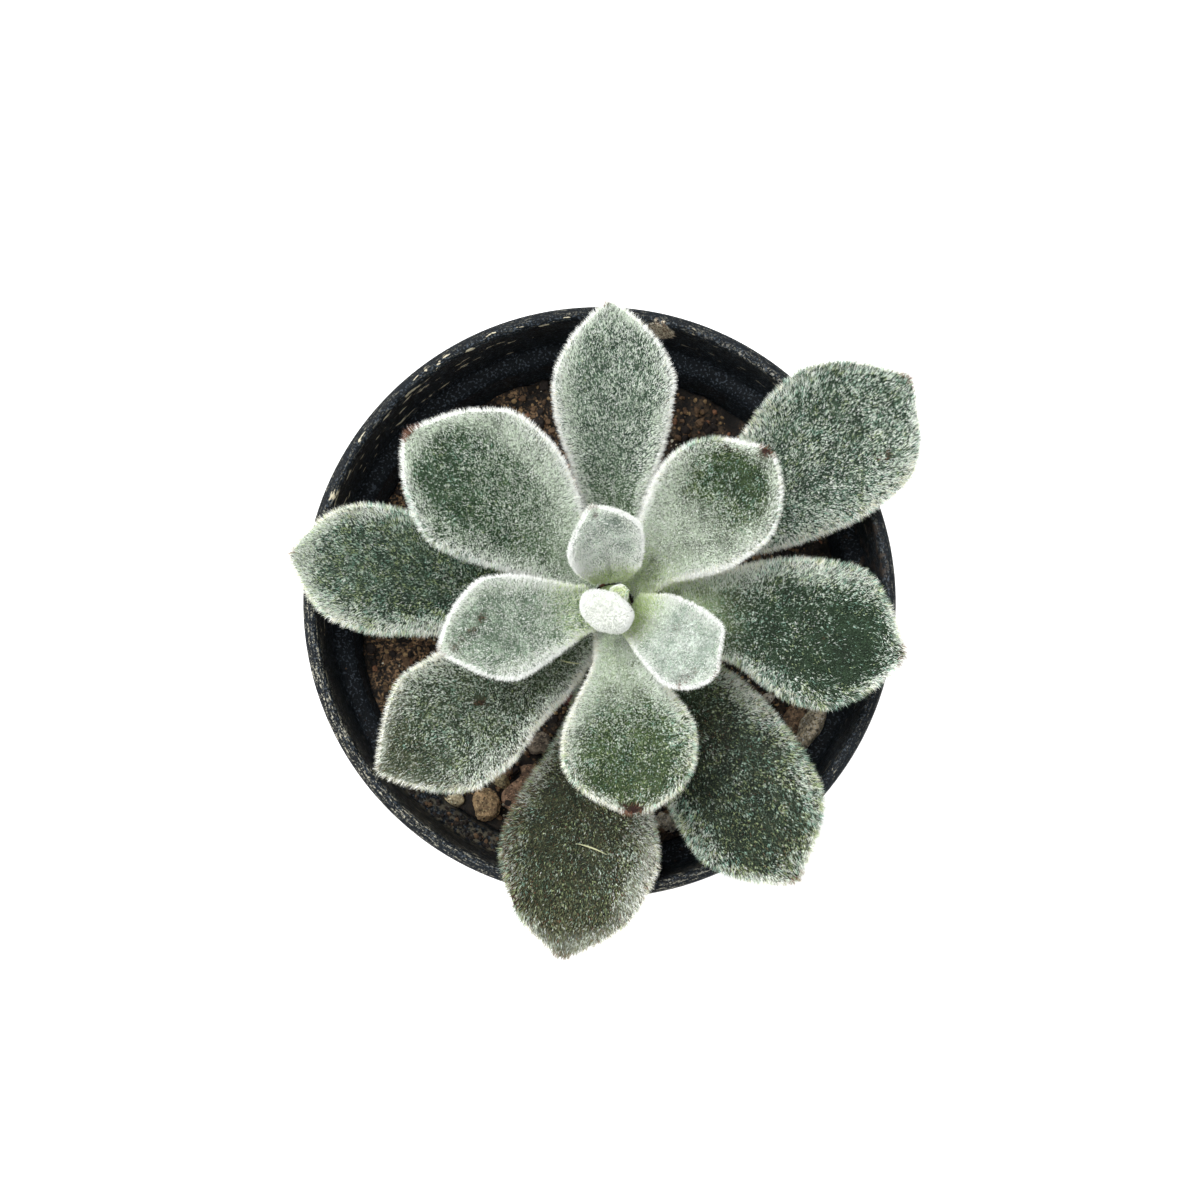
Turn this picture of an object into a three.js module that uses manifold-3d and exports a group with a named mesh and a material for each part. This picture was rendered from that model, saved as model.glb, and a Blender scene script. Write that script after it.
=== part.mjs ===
// A frosty echeveria with velvety leaves, planted in a black nursery pot.
// Millimetres, +Z up. The origin is on the pot's axis, in the plane that the pot stands on.
// +X is to the right and +Y is away from someone who looks at the plant from the front.

import * as THREE from 'three';
import { mergeVertices } from 'three/addons/utils/BufferGeometryUtils.js';
import { ParametricGeometry } from 'three/addons/geometries/ParametricGeometry.js';
import Module from 'manifold-3d';

const wasm = await Module();
wasm.setup();

// Clearance between pieces that touch on the real plant
const GAP = 0.3;

// Pot
const POT_HEIGHT = 90;
const LIP_RADIUS = 52.5;
const LIP_WIDTH = 2.3;
const LIP_DROP = 5.5;
const WALL = 1.4;
const COLLAR_FOOT_RADIUS = 49.3;
const COLLAR_FOOT_HEIGHT = 76.5;
const LEDGE_HEIGHT = 75.5;
const LEDGE_RADIUS = 46.1;
const FLOOR_RADIUS = 36.6;
const FLOOR_TOP = 3.8;
const FLOOR_UNDERSIDE = 2;
const CENTRE_PAD_RADIUS = 12;
const FOOT_RING_WIDTH = 4;
const DRAIN_HOLES = 8;
const DRAIN_RADIUS = 4;
const DRAIN_CIRCLE = 23;
const POT_SIDES = 60;

// Soil
const SOIL_LEVEL = 68;
const SOIL_SIDES = 48;
const SOIL_RINGS = [0.985, 0.92, 0.83, 0.73, 0.62, 0.51, 0.4, 0.28, 0.15];
const GRIT_COUNT = 56;

// Stem: its middle line leans a little from foot to top
const STEM_FOOT = new THREE.Vector3(0.9, -1.2, 50);
const STEM_TOP = new THREE.Vector3(2.4, -1.6, 110);
const STEM_RADIUS = 4.6;
const STEM_TOP_RADIUS = 2.2;
const STEM_SIDES = 14;
const STEM_HOLE_RADIUS = STEM_RADIUS + 2 * GAP;
const SCAR_HEIGHTS = [70.5, 73.2, 75.6];

// Leaves, from the oldest and lowest to the youngest. seat: height of the foot on the stem. turn: compass
// direction in degrees, counter-clockwise from +X. rise and rise_tip: slope of the middle line at the foot
// and at the tip. bend: how much the middle line turns sideways on its way, and hook: how much more its last
// stretch does. at: where along the leaf it is widest. neck: how slowly it widens from its foot. point: how
// blunt its end is. cup: how far the margins lift, as a share of the half width.
const LEAVES = [
  { name: 'leaf_01', seat: 78.0, turn: 263.2, long: 59.3, wide: 26.6, thick: 4.4, rise: 35, rise_tip: -4,
    cup: 0.10, at: 0.71, neck: 3.8, point: 1.75, bend: -1.2, hook: -4 },
  { name: 'leaf_02', seat: 80.5, turn: 34.2, long: 63.5, wide: 26.9, thick: 4.4, rise: 28, rise_tip: -2,
    cup: 0.10, at: 0.75, neck: 2.9, point: 1.85, bend: 8.7 },
  { name: 'leaf_03', seat: 83.0, turn: 171.7, long: 53.1, wide: 21.6, thick: 4.2, rise: 24, rise_tip: 0,
    cup: 0.08, neck: 2.2, point: 2.75, bend: -4.5, hook: 9.5 },
  { name: 'leaf_04', seat: 85.5, turn: 307.4, long: 54.0, wide: 24.2, thick: 4.4, rise: 24, rise_tip: 0,
    cup: 0.10, neck: 1.0, point: 2.4, bend: -17.3, hook: 18.5 },
  { name: 'leaf_05', seat: 88.0, turn: 88.1, long: 49.4, wide: 20, thick: 4.2, rise: 26, rise_tip: 2,
    cup: 0.12, at: 0.71, neck: 2.6, point: 1.95, bend: 6.4 },
  { name: 'leaf_06', seat: 90.5, turn: 219.4, long: 46.3, wide: 22.2, thick: 4.4, rise: 30, rise_tip: 6,
    cup: 0.12, at: 0.72, neck: 1.05, point: 1.65, bend: -9.2 },
  { name: 'leaf_07', seat: 93.0, turn: 352.9, long: 48.1, wide: 23.8, thick: 4.4, rise: 32, rise_tip: 6,
    cup: 0.14, at: 0.76, neck: 1.5, point: 1.8, bend: -16.7, hook: 13 },
  { name: 'leaf_08', seat: 95.3, turn: 134.9, long: 43.3, wide: 24.8, thick: 4.2, rise: 38, rise_tip: 12,
    cup: 0.20, at: 0.69, neck: 1.85, point: 2.05, bend: 29.5, hook: -30 },
  { name: 'leaf_09', seat: 97.5, turn: 276.6, long: 35.5, wide: 21.3, thick: 4.2, rise: 42, rise_tip: 12,
    cup: 0.16, at: 0.68, neck: 3.3, point: 3.0, bend: -1.5, hook: -9.5 },
  { name: 'leaf_10', seat: 99.6, turn: 43.1, long: 35.8, wide: 19.8, thick: 4.0, rise: 46, rise_tip: 16,
    cup: 0.25, at: 0.66, neck: 2.6, point: 2.6, bend: -7.3, hook: 19 },
  { name: 'leaf_11', seat: 101.6, turn: 195.3, long: 29.5, wide: 16.3, thick: 3.8, rise: 44, rise_tip: 14,
    cup: 0.18, at: 0.67, neck: 1.8, point: 1.65, foot: 7, bend: 7.4, hook: 3 },
  { name: 'leaf_12', seat: 103.6, turn: 327.5, long: 21.7, wide: 12.9, thick: 3.4, rise: 54, rise_tip: 20,
    cup: 0.25, at: 0.74, neck: 1.6, point: 2.75, foot: 6.5, bend: -28.5, hook: 44 },
  { name: 'leaf_13', seat: 105.4, turn: 97.7, long: 19.8, wide: 11.8, thick: 3.2, rise: 68, rise_tip: 48,
    cup: 0.30, at: 0.6, neck: 1.0, point: 2.5, foot: 5.5, bend: 28, hook: -16 },
  { name: 'leaf_14', seat: 107.5, turn: 244, long: 11.3, wide: 8.5, thick: 3.5, rise: 76, rise_tip: 140,
    cup: 0.05, at: 0.6, neck: 1.0, point: 4, foot: 5 },
];
const LEAF_DEFAULTS = { at: 0.7, neck: 2.1, point: 2.1, foot: 6, bend: 0, hook: 0 };
const HEART_BUD = { name: 'heart_bud', turn: 22, long: 6.2, wide: 3, thick: 2.6, rise: 80, rise_tip: 64,
  cup: 0.1, at: 0.45, neck: 1, point: 3, foot: 2 };
const LEAF_STATIONS = 14;
const LEAF_SIDES = 14;
const UPPER_SHARE = 0.65;
const LOWER_SHARE = 1.35;
const FOOT_THICKNESS_SHARE = 0.6;
const TIP_THICKNESS_SHARE = 0.5;

// Stones that lie on the soil. at: where. size: across, along, high. turn: direction of the long side.
const STONES = [
  { name: 'stone_01', at: [-21.0, -37.0], size: [5.6, 6.6, 4.6], turn: 100, colour: 0x9c7350 },
  { name: 'stone_02', at: [-28.8, -32.3], size: [4.2, 4.6, 3.4], turn: 20, colour: 0xa98f66 },
  { name: 'stone_03', at: [-17.6, -30.6], size: [3.2, 3.6, 2.6], turn: 60, colour: 0x7a6048 },
  { name: 'stone_04', at: [-11.6, -35.0], size: [5.4, 12.5, 4.0], turn: 112, colour: 0x8a6350 },
  { name: 'stone_05', at: [-11.3, -25.6], size: [4.2, 5.0, 3.4], turn: 35, colour: 0x857767 },
  { name: 'stone_06', at: [36.6, -20.8], size: [5.2, 9.0, 4.2], turn: 70, colour: 0x9a8672 },
  { name: 'stone_07', at: [31.6, -17.4], size: [2.4, 2.8, 2.2], turn: 10, colour: 0xcfc6b4 },
  { name: 'stone_08', at: [12.4, -40.2], size: [4.2, 4.8, 3.4], turn: 150, colour: 0x8d8272 },
  { name: 'stone_09', at: [-5.6, -17.2], size: [2.4, 3.4, 2.0], turn: 25, colour: 0x5d3a33 },
];
const STONE_SINK = 0.38;

const MATERIALS = {
  pot: new THREE.MeshStandardMaterial({ color: 0x23262b, roughness: 0.55, metalness: 0 }),
  soil: new THREE.MeshStandardMaterial({ color: 0x3b2a20, roughness: 0.95, metalness: 0 }),
  stem: new THREE.MeshStandardMaterial({ color: 0x6b5a3c, roughness: 0.85, metalness: 0 }),
  leaf: new THREE.MeshStandardMaterial({ color: 0x6f8471, roughness: 0.9, metalness: 0 }),
  young_leaf: new THREE.MeshStandardMaterial({ color: 0xc3cfbf, roughness: 0.92, metalness: 0 }),
};

const radians = THREE.MathUtils.degToRad;
const ease = (x) => THREE.MathUtils.smoothstep(x, 0, 1);

function seededRandom(seed) {
  let state = seed;
  return () => {
    state = (state * 1664525 + 1013904223) % 4294967296;
    return state / 4294967296;
  };
}

// Joins the doubled points of a geometry, drops triangles that have no area and turns all faces outwards.
function closedBody(geometry) {
  const bare = geometry.clone();
  for (const name of Object.keys(bare.attributes)) {
    if (name !== 'position') bare.deleteAttribute(name);
  }
  const merged = mergeVertices(bare, 1e-3);
  const points = merged.getAttribute('position');
  const index = merged.getIndex().array;
  const kept = [];
  const [a, b, c] = [new THREE.Vector3(), new THREE.Vector3(), new THREE.Vector3()];
  let volume = 0;
  for (let i = 0; i < index.length; i += 3) {
    const [p, q, r] = [index[i], index[i + 1], index[i + 2]];
    if (p === q || q === r || r === p) continue;
    kept.push(p, q, r);
    a.fromBufferAttribute(points, p);
    b.fromBufferAttribute(points, q);
    c.fromBufferAttribute(points, r);
    volume += a.dot(b.cross(c));
  }
  if (volume < 0) kept.reverse();
  merged.setIndex(kept);
  return merged;
}

function toSolid(geometry) {
  const body = closedBody(geometry);
  return new wasm.Manifold(new wasm.Mesh({
    numProp: 3,
    vertProperties: new Float32Array(body.getAttribute('position').array),
    triVerts: new Uint32Array(body.getIndex().array),
  }));
}

function toGeometry(solid) {
  const mesh = solid.getMesh();
  const geometry = new THREE.BufferGeometry();
  geometry.setAttribute('position', new THREE.BufferAttribute(new Float32Array(mesh.vertProperties), 3));
  geometry.setIndex(Array.from(mesh.triVerts));
  return closedBody(geometry);
}

// A closed skin over rows of points: row 0 and the last row shrink to one point each.
function skin(pointAt, sides, rows) {
  const surface = (u, v, target) => {
    target.copy(pointAt(u * 2 * Math.PI, Math.round(v * rows)));
  };
  return closedBody(new ParametricGeometry(surface, sides, rows));
}

// A turned body: profile points are [radius, height], from the axis round to the axis again.
function turned(profile, sides) {
  const points = profile.map(([radius, height]) => new THREE.Vector2(radius, height));
  return new THREE.LatheGeometry(points, sides).rotateX(Math.PI / 2);
}

function potInnerRadius(z) {
  return THREE.MathUtils.mapLinear(z, FLOOR_TOP, LEDGE_HEIGHT, FLOOR_RADIUS, LEDGE_RADIUS);
}

// The pot: floor pad, recessed floor, foot ring, tapering wall, step, straight collar and rolled lip.
function makePot() {
  const lipInner = LIP_RADIUS - LIP_WIDTH;
  const footRadius = potInnerRadius(0) + WALL;
  const profile = [
    [0, 0],
    [CENTRE_PAD_RADIUS, 0],
    [CENTRE_PAD_RADIUS + 1, FLOOR_UNDERSIDE],
    [footRadius - FOOT_RING_WIDTH - 1, FLOOR_UNDERSIDE],
    [footRadius - FOOT_RING_WIDTH, 0],
    [footRadius - 0.8, 0],
    [footRadius, 0.8],
    [LEDGE_RADIUS + WALL, LEDGE_HEIGHT - 1.2],
    [COLLAR_FOOT_RADIUS + WALL, COLLAR_FOOT_HEIGHT - 0.6],
    [LIP_RADIUS - 0.9, POT_HEIGHT - LIP_DROP],
    [LIP_RADIUS, POT_HEIGHT - LIP_DROP + 0.5],
    [LIP_RADIUS, POT_HEIGHT - 0.9],
    [LIP_RADIUS - 0.35, POT_HEIGHT - 0.25],
    [LIP_RADIUS - 0.9, POT_HEIGHT],
    [lipInner + 0.6, POT_HEIGHT],
    [lipInner + 0.1, POT_HEIGHT - 0.4],
    [lipInner, POT_HEIGHT - 1.2],
    [COLLAR_FOOT_RADIUS, COLLAR_FOOT_HEIGHT],
    [LEDGE_RADIUS + 0.5, LEDGE_HEIGHT],
    [LEDGE_RADIUS, LEDGE_HEIGHT - 0.6],
    [FLOOR_RADIUS, FLOOR_TOP],
    [0, FLOOR_TOP],
  ];
  let pot = toSolid(turned(profile, POT_SIDES));
  for (let i = 0; i < DRAIN_HOLES; i += 1) {
    const angle = ((i + 0.5) * 2 * Math.PI) / DRAIN_HOLES;
    const hole = new THREE.CylinderGeometry(DRAIN_RADIUS, DRAIN_RADIUS, 3 * FLOOR_TOP, 16)
      .rotateX(Math.PI / 2)
      .translate(DRAIN_CIRCLE * Math.cos(angle), DRAIN_CIRCLE * Math.sin(angle), FLOOR_TOP / 2);
    pot = pot.subtract(toSolid(hole));
  }
  return toGeometry(pot);
}

// Height of the soil: it is banked up against the wall at the front left and the front right.
function soilHeight(x, y) {
  const radius = Math.hypot(x, y);
  const angle = Math.atan2(y, x);
  const edge = ease((radius - 22) / 22);
  const bankLeft = 4.2 * Math.max(0, Math.cos(angle - radians(236))) ** 2;
  const bankRight = 3.6 * Math.max(0, Math.cos(angle - radians(325))) ** 3;
  const mound = 0.8 * Math.exp(-((radius / 16) ** 2));
  const lumps = 0.45 * Math.sin(0.42 * x + 1.3) * Math.cos(0.37 * y - 0.4)
    + 0.3 * Math.sin(0.83 * x - 0.71 * y);
  return SOIL_LEVEL + edge * (bankLeft + bankRight) + mound + lumps;
}

// A chipped stone, sunk a little into the soil. grow makes it larger all round, to cut its socket.
function makeStone(stone, grow, random) {
  const merged = closedBody(new THREE.IcosahedronGeometry(1, 1));
  const points = merged.getAttribute('position');
  for (let i = 0; i < points.count; i += 1) {
    const chip = 0.84 + 0.2 * random();
    points.setXYZ(i, points.getX(i) * chip, points.getY(i) * chip, points.getZ(i) * chip);
  }
  const [across, along, high] = stone.size;
  const [x, y] = stone.at;
  merged.scale(along / 2 + grow, across / 2 + grow, high / 2 + grow);
  merged.rotateZ(radians(stone.turn));
  merged.translate(x, y, soilHeight(x, y) + high * (0.5 - STONE_SINK));
  return merged;
}

const stoneSeed = (i) => 400 + 7 * i;

// The soil: a body that fills the pot, with fused grit, the stem's hole and a socket for each stone.
function makeSoil() {
  const bottom = FLOOR_TOP + GAP;
  const sideHeights = [bottom, 30, 55];
  const rings = SOIL_RINGS.length;
  const rows = sideHeights.length + rings + 1;
  const pointAt = (angle, row) => {
    const direction = new THREE.Vector3(Math.cos(angle), Math.sin(angle), 0);
    if (row === 0) return new THREE.Vector3(0, 0, bottom);
    if (row <= sideHeights.length) {
      const z = sideHeights[row - 1];
      return direction.multiplyScalar(potInnerRadius(z) - GAP).setZ(z);
    }
    if (row === rows) return new THREE.Vector3(0, 0, soilHeight(0, 0));
    const share = SOIL_RINGS[row - sideHeights.length - 1];
    direction.multiplyScalar(potInnerRadius(SOIL_LEVEL) * share);
    return direction.setZ(soilHeight(direction.x, direction.y));
  };
  let soil = toSolid(skin(pointAt, SOIL_SIDES, rows));

  const random = seededRandom(90210);
  for (let i = 0; i < GRIT_COUNT; i += 1) {
    const radius = 8 + 34 * Math.sqrt(random());
    const angle = 2 * Math.PI * random();
    const size = 0.9 + 1.3 * random() ** 2;
    const grain = new THREE.OctahedronGeometry(size)
      .rotateX(random())
      .scale(1, 0.7 + 0.3 * random(), 0.8)
      .rotateZ(Math.PI * random());
    const [x, y] = [radius * Math.cos(angle), radius * Math.sin(angle)];
    grain.translate(x, y, soilHeight(x, y) + 0.1 * size);
    soil = soil.add(toSolid(grain));
  }

  const holeDepth = 40;
  const holeCentre = stemCentre(STEM_FOOT.z - GAP + holeDepth / 2);
  const hole = new THREE.CylinderGeometry(STEM_HOLE_RADIUS, STEM_HOLE_RADIUS, holeDepth, 20)
    .rotateX(Math.PI / 2)
    .translate(holeCentre.x, holeCentre.y, holeCentre.z);
  soil = soil.subtract(toSolid(hole));
  STONES.forEach((stone, i) => {
    soil = soil.subtract(toSolid(makeStone(stone, GAP, seededRandom(stoneSeed(i)))));
  });
  return toGeometry(largestPiece(soil));
}

function largestPiece(solid) {
  const pieces = solid.decompose();
  pieces.sort((a, b) => b.volume() - a.volume());
  return pieces[0];
}

function stemCentre(z) {
  const share = (z - STEM_FOOT.z) / (STEM_TOP.z - STEM_FOOT.z);
  return new THREE.Vector3().lerpVectors(STEM_FOOT, STEM_TOP, share).setZ(z);
}

function stemRadius(z) {
  const share = THREE.MathUtils.clamp((z - 66) / (STEM_TOP.z - 66), 0, 1);
  return STEM_RADIUS - (STEM_RADIUS - STEM_TOP_RADIUS) * share ** 1.6;
}

// The stem, with a low ridge over each scar that a fallen leaf has left.
function makeStem() {
  const heights = [50, 60, 69, 70, 71, 72.2, 73.2, 74.2, 75.4, 76.4, 77.5, 82, 88, 94, 100, 105, 109, 110];
  const rows = heights.length + 1;
  const pointAt = (angle, row) => {
    if (row === 0) return STEM_FOOT.clone();
    if (row === rows) return STEM_TOP.clone();
    const z = heights[row - 1];
    const isEnd = row === 1 || row === rows - 1;
    let radius = stemRadius(z) * (isEnd ? 0.8 : 1);
    for (const [i, scar] of SCAR_HEIGHTS.entries()) {
      const facing = Math.max(0, Math.cos(angle - radians(137.5 * i + 60)));
      radius += 0.22 * facing * Math.exp(-(((z - scar) / 0.6) ** 2));
    }
    const centre = stemCentre(z);
    return centre.add(new THREE.Vector3(radius * Math.cos(angle), radius * Math.sin(angle), 0));
  };
  return skin(pointAt, STEM_SIDES, rows);
}

// The middle line of a leaf, as evenly spaced points with the direction of travel at each.
function middleLine(leaf, root) {
  const steps = 80;
  const line = [];
  const point = root.clone();
  for (let i = 0; i <= steps; i += 1) {
    const share = i / steps;
    const slope = radians(THREE.MathUtils.lerp(leaf.rise, leaf.rise_tip, share));
    const compass = radians(leaf.turn + leaf.bend * share ** 2 + leaf.hook * share ** 8);
    const travel = new THREE.Vector3(
      Math.cos(slope) * Math.cos(compass), Math.cos(slope) * Math.sin(compass), Math.sin(slope));
    if (i > 0) point.addScaledVector(travel, leaf.long / steps);
    line.push({ point: point.clone(), travel, compass });
  }
  return line;
}

function leafHalfWidth(leaf, share) {
  const footShare = leaf.foot / leaf.wide;
  if (share < leaf.at) {
    const swell = Math.sin((Math.PI / 2) * (share / leaf.at)) ** leaf.neck;
    return (leaf.wide / 2) * (footShare + (1 - footShare) * swell);
  }
  return (leaf.wide / 2) * (1 - ((share - leaf.at) / (1 - leaf.at)) ** leaf.point);
}

function leafHalfThickness(leaf, share) {
  const up = FOOT_THICKNESS_SHARE + (1 - FOOT_THICKNESS_SHARE) * ease(share / 0.45);
  const down = 1 - (1 - TIP_THICKNESS_SHARE) * ease((share - 0.5) / 0.5);
  return (leaf.thick / 2) * up * down;
}

// How far a section's rim stands above or below its chord: nearly flat above, rounder below.
function sectionBulge(halfThickness, angle) {
  const height = Math.sin(angle);
  if (height >= 0) return UPPER_SHARE * halfThickness * height ** 0.6;
  return -LOWER_SHARE * halfThickness * (-height) ** 0.85;
}

// A leaf seated at the stem: every section is a rounded lens whose two margins are lifted by the cup.
function makeLeaf(leaf, root) {
  const line = middleLine(leaf, root);
  const rows = LEAF_STATIONS + 2;
  const at = (share) => line[Math.round(share * (line.length - 1))];
  const pointAt = (angle, row) => {
    if (row === 0) return root.clone();
    if (row === rows) return line.at(-1).point.clone();
    const share = 1 - (1 - (row - 1) / LEAF_STATIONS) ** 1.3;
    if (share > 0.999) return line.at(-1).point.clone();
    const { point, travel, compass } = at(share);
    const across = new THREE.Vector3(-Math.sin(compass), Math.cos(compass), 0);
    const up = new THREE.Vector3().crossVectors(travel, across);
    const half = leafHalfWidth(leaf, share);
    const bulge = sectionBulge(leafHalfThickness(leaf, share), angle);
    const sideways = half * Math.cos(angle);
    const lifted = leaf.cup * half * Math.cos(angle) ** 2 * ease(share / 0.3);
    return point.clone().addScaledVector(across, sideways).addScaledVector(up, bulge + lifted);
  };
  return skin(pointAt, LEAF_SIDES, rows);
}

function leafRoot(leaf) {
  const slope = radians(leaf.rise);
  const clearance = UPPER_SHARE * leafHalfThickness(leaf, 0) * Math.sin(slope) + 1.2 * GAP;
  const reach = stemRadius(leaf.seat) + clearance;
  const outwards = new THREE.Vector3(Math.cos(radians(leaf.turn)), Math.sin(radians(leaf.turn)), 0);
  return stemCentre(leaf.seat).addScaledVector(outwards, reach);
}

const plant = new THREE.Group();

function addPiece(name, geometry, material) {
  const mesh = new THREE.Mesh(geometry, material);
  mesh.name = name;
  plant.add(mesh);
}

addPiece('pot', makePot(), MATERIALS.pot);
addPiece('soil', makeSoil(), MATERIALS.soil);
addPiece('stem', makeStem(), MATERIALS.stem);
for (const settings of LEAVES) {
  const leaf = { ...LEAF_DEFAULTS, ...settings };
  const material = leaf.seat > 103 ? MATERIALS.young_leaf : MATERIALS.leaf;
  addPiece(leaf.name, makeLeaf(leaf, leafRoot(leaf)), material);
}
const bud = { ...LEAF_DEFAULTS, ...HEART_BUD };
const budRoot = STEM_TOP.clone().setZ(STEM_TOP.z + 1.5 * GAP);
addPiece(bud.name, makeLeaf(bud, budRoot), MATERIALS.young_leaf);
STONES.forEach((stone, i) => {
  const material = new THREE.MeshStandardMaterial({ color: stone.colour, roughness: 0.9, metalness: 0 });
  addPiece(stone.name, makeStone(stone, 0, seededRandom(stoneSeed(i))), material);
});

export default plant;
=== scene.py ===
# %% [markdown]
# # A frosty echeveria in its nursery pot
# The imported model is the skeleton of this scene: every piece of the plant and its pot at its real size. This
# script dresses that skeleton. The leaves get their velvet of short white hairs, the pot its scuffed and
# dusty plastic, and the soil its grains. Lengths are written in millimetres, as a gardener would measure
# them, and turned into Blender's metres only where a mesh is made.

import math

import bmesh
import bpy
import numpy as np
from mathutils import Matrix, Vector


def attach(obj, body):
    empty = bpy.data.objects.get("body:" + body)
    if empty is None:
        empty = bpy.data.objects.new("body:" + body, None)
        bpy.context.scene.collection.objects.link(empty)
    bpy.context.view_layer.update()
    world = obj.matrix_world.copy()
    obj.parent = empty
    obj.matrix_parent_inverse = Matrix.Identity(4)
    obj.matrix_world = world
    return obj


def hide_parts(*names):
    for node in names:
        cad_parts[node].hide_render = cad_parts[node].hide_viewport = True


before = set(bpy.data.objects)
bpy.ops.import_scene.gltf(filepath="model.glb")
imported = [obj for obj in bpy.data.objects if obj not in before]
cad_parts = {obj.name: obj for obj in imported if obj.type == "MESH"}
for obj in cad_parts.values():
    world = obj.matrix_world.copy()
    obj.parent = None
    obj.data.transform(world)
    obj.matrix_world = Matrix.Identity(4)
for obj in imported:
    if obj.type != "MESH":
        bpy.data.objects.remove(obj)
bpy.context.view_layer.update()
MM = 0.001
print("nodes in the frame:", len(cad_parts))

# %% [markdown]
# ## The camera
# The photograph looks almost straight down into the pot: the lip is very nearly a circle, and the far side
# of the inner wall shows a little less than the near side. That is an elevation of about 85 degrees. How fast
# the pot narrows below the lip tells the distance, which is about three lip widths. The lens then
# follows from how large the lip is in the picture.

# %% Place the camera
LIP_RADIUS = 52.5
LIP_HEIGHT = 90.0
FRAME_PIXELS = 1200
LIP_RADIUS_PIXELS = 297.4
CAMERA_DISTANCE = 300.0
CAMERA_ELEVATION = math.radians(85.5)
CAMERA_AIM = Vector((0.09, -0.35, LIP_HEIGHT))
SENSOR_WIDTH = 36.0

camera = bpy.data.objects.new("camera", bpy.data.cameras.new("camera"))
bpy.context.scene.collection.objects.link(camera)
towards_camera = Vector((0, -math.cos(CAMERA_ELEVATION), math.sin(CAMERA_ELEVATION)))
camera.location = (CAMERA_AIM + CAMERA_DISTANCE * towards_camera) * MM
camera.rotation_euler = (math.pi / 2 - CAMERA_ELEVATION, 0, 0)
camera.data.sensor_width = SENSOR_WIDTH
camera.data.lens = SENSOR_WIDTH * (LIP_RADIUS_PIXELS * CAMERA_DISTANCE / LIP_RADIUS) / FRAME_PIXELS
camera.data.clip_end = 20
bpy.context.scene.camera = camera
print("camera lens, mm:", round(camera.data.lens, 1))

# %% [markdown]
# ## Writing finishes as sums
# A material is a tree of nodes, but most of what it does is arithmetic: a mask times a colour, one noise plus
# another. A small class that stands for one output socket lets that arithmetic be written as ordinary Python,
# and each sum quietly adds its own Math node. Every other node comes from one method, `node`.

# %% A socket that can be added and multiplied
class Signal:
    """One output of a finish's node tree, on which +, - and * make Math nodes."""

    def __init__(self, finish, socket):
        self.finish = finish
        self.socket = socket

    def sum_node(self, operation, first, second):
        return self.finish.node("Math", {"operation": operation}, {0: first, 1: second})

    def __add__(self, other):
        return self.sum_node("ADD", self, other)

    def __radd__(self, other):
        return self.sum_node("ADD", other, self)

    def __sub__(self, other):
        return self.sum_node("SUBTRACT", self, other)

    def __rsub__(self, other):
        return self.sum_node("SUBTRACT", other, self)

    def __mul__(self, other):
        return self.sum_node("MULTIPLY", self, other)

    def __rmul__(self, other):
        return self.sum_node("MULTIPLY", other, self)

    def ramp(self, low, high):
        """0 below low, 1 above high and a soft slope between them."""
        settings = {"interpolation_type": "SMOOTHSTEP"}
        return self.finish.node("MapRange", settings, {"Value": self, "From Min": low, "From Max": high})


# %% A finish: one material and the ways to feed it
class Finish:
    """A material under construction, around one Principled shader."""

    def __init__(self, name, **fixed):
        self.material = bpy.data.materials.new(name)
        self.material.use_nodes = True
        self.tree = self.material.node_tree
        self.shader = self.tree.nodes["Principled BSDF"]
        for socket, value in fixed.items():
            socket = socket.replace("_", " ").title().replace("Ior", "IOR")
            self.feed(self.shader.inputs[socket], value)

    def feed(self, socket, value):
        if isinstance(value, Signal):
            self.tree.links.new(value.socket, socket)
        elif isinstance(value, tuple) and len(value) == 3 and socket.type == "RGBA":
            socket.default_value = (*value, 1.0)
        else:
            socket.default_value = value

    def node(self, kind, settings=None, inputs=None, output=0):
        made = self.tree.nodes.new("ShaderNode" + kind)
        for name, value in (settings or {}).items():
            setattr(made, name, value)
        for name, value in (inputs or {}).items():
            self.feed(made.inputs[name], value)
        return Signal(self, made.outputs[output])

    def place(self, stretch=(1, 1, 1)):
        """Where a point lies, in millimetres divided by the stretch."""
        geometry = self.node("NewGeometry")
        scale = tuple(1 / (MM * s) for s in stretch)
        return self.node("VectorMath", {"operation": "MULTIPLY"}, {0: geometry, 1: scale})

    def noise(self, size, detail=3.0, roughness=0.55, stretch=(1, 1, 1), at=None):
        """A cloudy signal from 0 to 1 whose blotches are about as large as size, in millimetres."""
        where = self.place(stretch) if at is None else at
        inputs = {"Vector": where, "Scale": 1 / size, "Detail": detail, "Roughness": roughness}
        return self.node("TexNoise", inputs=inputs)

    def mesh_value(self, name):
        """A number that the mesh carries at each of its points."""
        return self.node("Attribute", {"attribute_name": name}, output=2)

    def mesh_place(self, name):
        """A place that the mesh carries at each of its points, to draw a pattern in other directions."""
        return self.node("Attribute", {"attribute_name": name}, output=1)

    def blend(self, share, first, second):
        """The colour first where share is 0 and second where it is 1."""
        return self.node("Mix", {"data_type": "RGBA"}, {0: share, 6: first, 7: second}, output=2)

    def paint(self, colour=None, roughness=None, relief=None, relief_depth=0.1):
        """Feeds the shader. relief is a signal, and relief_depth is how high 1 stands, in millimetres."""
        if colour is not None:
            self.feed(self.shader.inputs["Base Color"], colour)
        if roughness is not None:
            self.feed(self.shader.inputs["Roughness"], roughness)
        if relief is not None:
            bump = self.node("Bump", inputs={"Distance": relief_depth * MM, "Height": relief})
            self.feed(self.shader.inputs["Normal"], bump)
        return self.material


def tone(colour, times, plus=0.0, most=1.0):
    """A lighter or darker colour than the one given."""
    return tuple(min(most, times * c + plus) for c in colour)


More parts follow.
